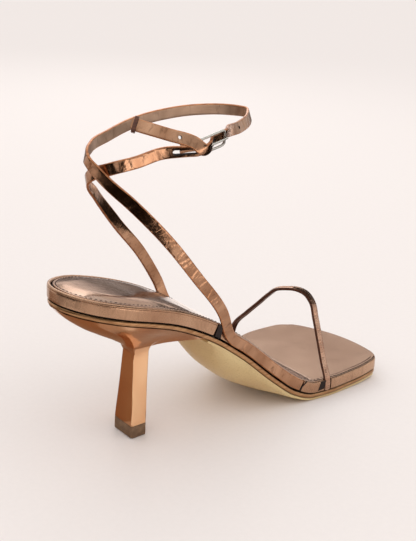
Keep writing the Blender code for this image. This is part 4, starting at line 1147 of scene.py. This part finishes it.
def makeKeeper():
    k = keeperShape
    end, ahead, across, out, _ = routeFrames(*longStrapRows())[-1]
    middle = end - ahead * (k["fromEnd"] + k["length"] / 2)
    flatU = strapShape["width"] / 2 + k["room"] - k["corner"]
    flatN = strapShape["thick"] / 2 + k["room"] - k["corner"]
    loop = []
    for signU, signN, start in roundedCorners:
        for step in range(7):
            turn = math.radians(start + 15 * step)
            radial = across * math.cos(turn) + out * math.sin(turn)
            flat = middle + across * signU * flatU + out * signN * flatN
            loop.append((flat + radial * k["corner"], radial))
    section = [(-1.0, -0.2), (-1.0, 0.15), (-0.85, 0.33), (0.85, 0.33), (1.0, 0.15), (1.0, -0.2),
               (0.85, -0.35), (-0.85, -0.35)]
    points = [place + ahead * a + radial * b for place, radial in loop for a, b in section]
    faces = stackFaces(len(loop), len(section), True)
    piece = meshPiece("tailKeeper", points, faces, [cordEdgePaint], sharp=45.0)
    stands(piece, ["keeper_loop"])


makeBuckle()
makeKeeper()
print("toe strap, buckle and keeper made")

# Stitches round the sock: one tree sews along any path it is given

stitchShape = {"innerEnd": 92.0, "outerEnd": 167.0, "pitch": 2.6, "length": 1.45, "thick": 0.6,
               "wander": 0.12, "seed": 7}


def stitchTree():
    tree = bpy.data.node_groups.new("sewnStitches", "GeometryNodeTree")
    face = tree.interface
    face.new_socket("Geometry", in_out="INPUT", socket_type="NodeSocketGeometry")
    for name in ("Pitch", "Stitch length", "Stitch width", "Wander"):
        face.new_socket(name, in_out="INPUT", socket_type="NodeSocketFloat")
    face.new_socket("Seed", in_out="INPUT", socket_type="NodeSocketInt")
    face.new_socket("Thread", in_out="INPUT", socket_type="NodeSocketMaterial")
    face.new_socket("Geometry", in_out="OUTPUT", socket_type="NodeSocketGeometry")
    start = addNode(tree, "NodeGroupInput").outputs
    path = addNode(tree, "GeometryNodeMeshToCurve", None, None, {"Mesh": start["Geometry"]})
    even = addNode(tree, "GeometryNodeResampleCurve", {"mode": "LENGTH"}, None,
                   {"Curve": path.outputs[0], "Length": start["Pitch"]})
    tangent = addNode(tree, "GeometryNodeInputTangent")
    turned = addNode(tree, "FunctionNodeAlignRotationToVector", {"axis": "Z"}, None,
                     {"Vector": tangent.outputs[0]})
    bead = addNode(tree, "GeometryNodeMeshIcoSphere", None, {"Radius": 0.5, "Subdivisions": 2})
    smooth = addNode(tree, "GeometryNodeSetShadeSmooth", None, None, {"Geometry": bead.outputs[0]})
    size = addNode(tree, "ShaderNodeCombineXYZ", None, None,
                   {"X": start["Stitch width"], "Y": start["Stitch width"], "Z": start["Stitch length"]})
    vary = addNode(tree, "FunctionNodeRandomValue", {"data_type": "FLOAT"}, None, {"Seed": start["Seed"]})
    low = addNode(tree, "ShaderNodeMath", {"operation": "SUBTRACT"}, {0: 1.0}, {1: start["Wander"]})
    tree.links.new(low.outputs[0], vary.inputs[2])
    high = addNode(tree, "ShaderNodeMath", {"operation": "ADD"}, {0: 1.0}, {1: start["Wander"]})
    tree.links.new(high.outputs[0], vary.inputs[3])
    sized = addNode(tree, "ShaderNodeVectorMath", {"operation": "SCALE"}, None,
                    {0: size.outputs[0], "Scale": vary.outputs[1]})
    sewn = addNode(tree, "GeometryNodeInstanceOnPoints", None, None,
                   {"Points": even.outputs[0], "Instance": smooth.outputs[0], "Rotation": turned.outputs[0],
                    "Scale": sized.outputs[0]})
    real = addNode(tree, "GeometryNodeRealizeInstances", None, None, {"Geometry": sewn.outputs[0]})
    painted = addNode(tree, "GeometryNodeSetMaterial", None, None,
                      {"Geometry": real.outputs[0], "Material": start["Thread"]})
    addNode(tree, "NodeGroupOutput", None, None, {"Geometry": painted.outputs[0]})
    return tree


def sew(name, tree, points, values):
    # Sews one seam along the points given and keeps it as a plain mesh
    mesh = bpy.data.meshes.new(name)
    edges = [(k, k + 1) for k in range(len(points) - 1)]
    mesh.from_pydata([(point + toFrame) * 0.001 for point in points], edges, [])
    piece = bpy.data.objects.new(name, mesh)
    bpy.context.collection.objects.link(piece)
    step = piece.modifiers.new("stitches", "NODES")
    step.node_group = tree
    sockets = {item.name: item.identifier for item in tree.interface.items_tree if item.in_out == "INPUT"}
    for key, value in values.items():
        step[sockets[key]] = value
    bpy.context.view_layer.update()
    sewn = bpy.data.meshes.new_from_object(piece.evaluated_get(bpy.context.evaluated_depsgraph_get()))
    piece.modifiers.clear()
    piece.data = sewn
    stands(piece, [])


def makeStitches():
    tree = stitchTree()
    top = sockShape["lie"] - sockShape["thick"]
    outline = soleOutline()
    front = max(range(len(outline)), key=lambda k: outline[k][1])
    ends = (stitchShape["innerEnd"], stitchShape["outerEnd"])
    line = [sockPoint(point, 1.5, 0.0, top + 0.02) for point in outline[front:] + outline[:front]
            if point[1] < ends[point[0] > 0]]
    values = {"Pitch": stitchShape["pitch"] * 0.001, "Stitch length": stitchShape["length"] * 0.001,
              "Stitch width": stitchShape["thick"] * 0.001, "Wander": stitchShape["wander"],
              "Seed": stitchShape["seed"], "Thread": thread}
    sew("sockStitches", tree, line, values)


makeStitches()
print("stitches sewn")

# Where the outer wrap ends, a fine dark seam crosses the footbed's side

seamShape = {"outerTop": 155.5, "outerLow": 152.5, "radius": 0.45,
             "toeSlitShade": ((166.5, 0.3), (170.3, 0.3), (169.0, 5.6), (164.6, 6.2)),
             "heelSlitShade": ((90.4, 0.3), (93.6, 0.3), (96.0, 7.0), (91.4, 7.0))}


def makeSeams():
    points = []
    for k in range(13):
        share = k / 12
        along = mixSteps(seamShape["outerTop"], seamShape["outerLow"], share)
        drop = mixSteps(0.3, bandShape["thick"] - 0.2, share)
        points.append(onSole(halfWidth(along, 1) - 0.12, along, drop))
    stands(wirePiece("outerWrapSeam", points, seamShape["radius"], darkEdgeAndShade, False), [])
    # Dark plates sunk into the wrap where the toe strap and the long strap come out of it: painted shade for
    # the slits' openings
    for slit in ("toeSlitShade", "heelSlitShade"):
        corners = []
        for depth in (2.0, -0.1):
            corners += [onSole(halfWidth(along, 1) - depth, along, drop) for along, drop in seamShape[slit]]
        faces = [[3, 2, 1, 0], [4, 5, 6, 7]] + [[k, (k + 1) % 4, 4 + (k + 1) % 4, 4 + k] for k in range(4)]
        stands(meshPiece(slit, corners, faces, [darkEdgeAndShade]), [])


makeSeams()

# Studio: pale paper floor, soft boxes, and a dim room behind the camera

studio = {
    "paper": "#EFE6E1", "floorSize": 9.0, "floorDrop": 0.0002, "room": 0.03, "sky": 0.78, "overhead": 1.18,
    "cornerWay": (0.42, -0.90, -0.1), "tint": (0.985, 0.99, 1.0),
    # Each soft box: its place, what it points at, its size in metres, its power and its colour
    "keyBox": ((0.75, 0.45, 0.95), (0.0, 0.0, 0.05), (0.7, 0.7), 0.62, "#FFFDFB"),
    "rimBox": ((-0.8, 0.5, 0.7), (0.0, 0.0, 0.08), (0.25, 0.7), 0.9, "#FFFFFF"),
}


def makeFloor():
    # Uncoated paper: quite matt, with a soft cloud of fibre that barely shows
    made, tree, shader, where = newMaterial("matt paper backdrop")
    fibre = addNode(tree, "ShaderNodeTexNoise", None, {"Scale": 1000 / 3, "Detail": 3.0},
                    {"Vector": where["Object"]})
    tones = addNode(tree, "ShaderNodeValToRGB", None, None, {"Fac": fibre.outputs["Fac"]})
    setTones(tones, "#EDE4DF", "#F1E8E3", 0.0, 1.0)
    setInputs(tree, shader, {"Roughness": 1.0, "Specular IOR Level": 0.0}, {"Base Color": tones.outputs[0]})
    mesh = bpy.data.meshes.new("paperFloor")
    steps, reach = 64, studio["floorSize"]
    turns = [2 * math.pi * k / steps for k in range(steps)]
    ring = [(reach * math.cos(turn), reach * math.sin(turn), -studio["floorDrop"]) for turn in turns]
    mesh.from_pydata(ring, [], [list(range(steps))])
    mesh.materials.append(made)
    floor = bpy.data.objects.new("paperFloor", mesh)
    bpy.context.collection.objects.link(floor)


def makeWorld():
    # The camera sees plain paper all round; the shoe mirrors a bright ceiling, pale walls and a
    # dim corner behind the camera, as in any photograph of bright metal
    world = bpy.data.worlds.new("studioRoom")
    bpy.context.scene.world = world
    world.use_nodes = True
    tree = world.node_tree
    where = addNode(tree, "ShaderNodeTexCoord")
    apart = addNode(tree, "ShaderNodeSeparateXYZ", None, None, {"Vector": where.outputs["Generated"]})
    ceiling = addNode(tree, "ShaderNodeMapRange", {"interpolation_type": "SMOOTHSTEP"},
                      {"From Min": 0.40, "From Max": 0.68, "To Min": studio["sky"],
                       "To Max": studio["overhead"]}, {"Value": apart.outputs["Z"]})
    corner = addNode(tree, "ShaderNodeVectorMath", {"operation": "DOT_PRODUCT"}, {1: studio["cornerWay"]},
                     {0: where.outputs["Generated"]})
    dim = addNode(tree, "ShaderNodeMapRange", {"interpolation_type": "SMOOTHSTEP"},
                  {"From Min": 0.40, "From Max": 0.62, "To Min": 0.0, "To Max": 1.0},
                  {"Value": corner.outputs["Value"]})
    low = addNode(tree, "ShaderNodeMapRange", {"interpolation_type": "SMOOTHSTEP"},
                  {"From Min": 0.22, "From Max": 0.40, "To Min": 1.0, "To Max": 0.0},
                  {"Value": apart.outputs["Z"]})
    both = addNode(tree, "ShaderNodeMath", {"operation": "MULTIPLY"}, None,
                   {0: dim.outputs[0], 1: low.outputs[0]})
    dimmed = addNode(tree, "ShaderNodeMapRange", None, {"To Min": 1.0, "To Max": studio["room"]},
                     {"Value": both.outputs[0]})
    level = addNode(tree, "ShaderNodeMath", {"operation": "MULTIPLY"}, None,
                    {0: ceiling.outputs[0], 1: dimmed.outputs[0]})
    tinted = addNode(tree, "ShaderNodeVectorMath", {"operation": "SCALE"}, {0: studio["tint"]},
                     {"Scale": level.outputs[0]})
    seen = addNode(tree, "ShaderNodeLightPath")
    chosen = addNode(tree, "ShaderNodeMix", {"data_type": "RGBA"}, {7: linear(studio["paper"])},
                     {0: seen.outputs["Is Camera Ray"], 6: tinted.outputs[0]})
    setInputs(tree, tree.nodes["Background"], None, {"Color": chosen.outputs[2]})


def mirrorCard(name, corners, shade, glow=0.0):
    # A card that only the shiny surfaces see: it throws no shadow and stays out of the picture
    made = bpy.data.materials.new("painted card, " + name)
    made.use_nodes = True
    setInputs(made.node_tree, made.node_tree.nodes["Principled BSDF"],
              {"Base Color": linear(shade), "Roughness": 1.0, "Specular IOR Level": 0.0,
               "Emission Color": linear(shade), "Emission Strength": glow})
    mesh = bpy.data.meshes.new(name)
    mesh.from_pydata([(Vector(corner) + toFrame) * 0.001 for corner in corners], [],
                     [list(range(len(corners)))])
    mesh.materials.append(made)
    piece = bpy.data.objects.new(name, mesh)
    piece.visible_camera = piece.visible_diffuse = False
    piece.visible_transmission = piece.visible_shadow = False
    bpy.context.collection.objects.link(piece)


cards = {
    "cornerShade": "#17130F", "strapShade": "#1F1812", "duskShade": "#2A1812", "underHeelShadow": "#AE9788",
    "leftShade": "#8E6C54", "middleShade": "#8F8178", "brightShade": "#F6EEE8",
    "cornerTurns": (62, 75, 90, 105, 120), "cornerNear": 330.0, "cornerFar": 7000.0, "cornerMiddle": 80.0,
    "sockWay": (-0.77, 0.64), "sockCentre": 111.7,
}

# Flat cards over the floor: their corners, their shade, and how much they glow by themselves
flatCards = (
    ("sideCard", ((16, -95, 97), (140, -95, 97), (140, 60, 97), (34, 60, 97)), "strapShade", 0.0),
    ("nearCard", ((380, -70, 1), (1300, -70, 1), (1300, -420, 1), (380, -300, 1)), "cornerShade", 0.0),
    ("farSideCard", ((-30, 95, 97), (95, 95, 97), (95, 520, 97), (-40, 520, 97)), "strapShade", 0.0),
    # The card under the heel is painted shadow: a mid-tone sheet, seen only in reflections, for the shade on
    # the floor there
    ("underHeelShadowCard", ((-60, -30, 1), (34, -30, 1), (14, 100, 1), (-60, 100, 1)), "underHeelShadow", 0.0),
    # leftCard and leftNearCard stand for the pair's other shoe and its shadow on the floor, seen only in
    # reflections: partly painted shadow
    ("leftCard", ((-62, 101, 1), (-62, -32, 1), (-60, -190, 1), (-330, -120, 1)), "leftShade", 0.0),
    ("leftNearCard", ((-18, 66, 2), (4, 12, 2), (-16, -60, 2), (-61, -40, 2), (-61, 80, 2)),
     "leftShade", 0.0),
    ("rightPanel", ((430, -60, 1), (430, 460, 1), (1300, 760, 1), (1300, -60, 1)), "brightShade", 1.9),
    ("frontPanel", ((-420, 850, 1), (420, 850, 1), (1400, 6500, 1), (-900, 6500, 1)), "brightShade", 0.7),
)

# Cards past the toe that the sock mirrors: near and far edge, half width, their heights, shade and glow
sockCards = (
    ("sockGlow", 150, 260, 140, 1.0, 1.0, "brightShade", 0.9),
    ("sockRing", 400, 560, 300, 1.0, 1.0, "duskShade", 0.0),
    ("sockMiddle", 560, 3400, 1500, 1.0, 1.0, "middleShade", 0.0),
    ("sockDusk", 3500, 3500, 1600, 130.0, 330.0, "duskShade", 0.0),
    ("sockSky", 3500, 3500, 1600, 430.0, 1000.0, "brightShade", 1.1),
    ("toeSky", 3500, 3500, 1900, 1250.0, 2600.0, "brightShade", 0.5),
)


def makeCards():
    # The room as the shoe mirrors it: dark behind the camera, bright panels to its right
    ring = []
    for turns, reach in ((cards["cornerTurns"], cards["cornerNear"]), ((120, 90, 62), cards["cornerFar"])):
        for turn in turns:
            way = math.radians(turn)
            ring.append((reach * math.cos(way), cards["cornerMiddle"] - reach * math.sin(way), 1.0))
    mirrorCard("dimCornerCard", ring, cards["cornerShade"])
    for name, corners, shade, glow in flatCards:
        mirrorCard(name, corners, cards[shade], glow)
    wayX, wayY = cards["sockWay"]
    for name, near, far, wide, low, high, shade, glow in sockCards:
        corners = []
        for reach, side, up in ((near, -wide, low), (near, wide, low), (far, wide, high), (far, -wide, high)):
            corners.append((wayX * reach + wayY * side, cards["sockCentre"] + wayY * reach - wayX * side, up))
        mirrorCard(name, corners, cards[shade], glow)


def softBox(name, place, target, size, power, colour):
    light = bpy.data.lights.new(name, "AREA")
    light.shape, light.size, light.size_y = "RECTANGLE", size[0], size[1]
    light.energy = power
    light.color = linear(colour)[:3]
    made = bpy.data.objects.new(name, light)
    made.location = place
    made.rotation_euler = (Vector(target) - Vector(place)).to_track_quat("-Z", "Y").to_euler()
    bpy.context.collection.objects.link(made)


makeFloor()
makeWorld()
makeCards()
for boxName in ("keyBox", "rimBox"):
    softBox(boxName, *studio[boxName])

# Camera: the photograph's place and roll, closer on the one shoe

cameraShape = {
    # Degrees, then the photograph's pixels, then millimetres
    "azimuth": 51.64, "elevation": 16.286, "roll": -2.278, "focalPixels": 601.2,
    "place": (392.03, -238.35, 283.43), "aimPixel": (232.5, 320.0), "middlePixel": (208.0, 270.5),
    "closer": 1.62, "sensor": 36.0,
}


def makeCamera():
    c = cameraShape
    a, e, roll = (math.radians(c[key]) for key in ("azimuth", "elevation", "roll"))
    forward = Vector((-math.sin(a) * math.cos(e), math.cos(a) * math.cos(e), -math.sin(e)))
    level = Vector((math.cos(a), math.sin(a), 0.0))
    down = forward.cross(level)
    right = level * math.cos(roll) + down * math.sin(roll)
    low = down * math.cos(roll) - level * math.sin(roll)
    aim = (forward + right * ((c["aimPixel"][0] - c["middlePixel"][0]) / c["focalPixels"])
           + low * ((c["aimPixel"][1] - c["middlePixel"][1]) / c["focalPixels"])).normalized()
    right = (right - aim * right.dot(aim)).normalized()
    low = aim.cross(right)
    lens = bpy.data.cameras.new("photoCamera")
    lens.sensor_fit, lens.sensor_width = "HORIZONTAL", c["sensor"]
    lens.lens = c["focalPixels"] * c["closer"] / (2 * c["middlePixel"][0]) * c["sensor"]
    lens.clip_start, lens.clip_end = 0.01, 30.0
    camera = bpy.data.objects.new("photoCamera", lens)
    turned = Matrix((right, -low, -aim)).transposed().to_4x4()
    camera.matrix_world = Matrix.Translation((Vector(c["place"]) + toFrame) * 0.001) @ turned
    bpy.context.collection.objects.link(camera)
    bpy.context.scene.camera = camera


makeCamera()
bpy.context.scene.view_settings.view_transform = "Standard"
print("studio and camera set,", len(pieces), "pieces")
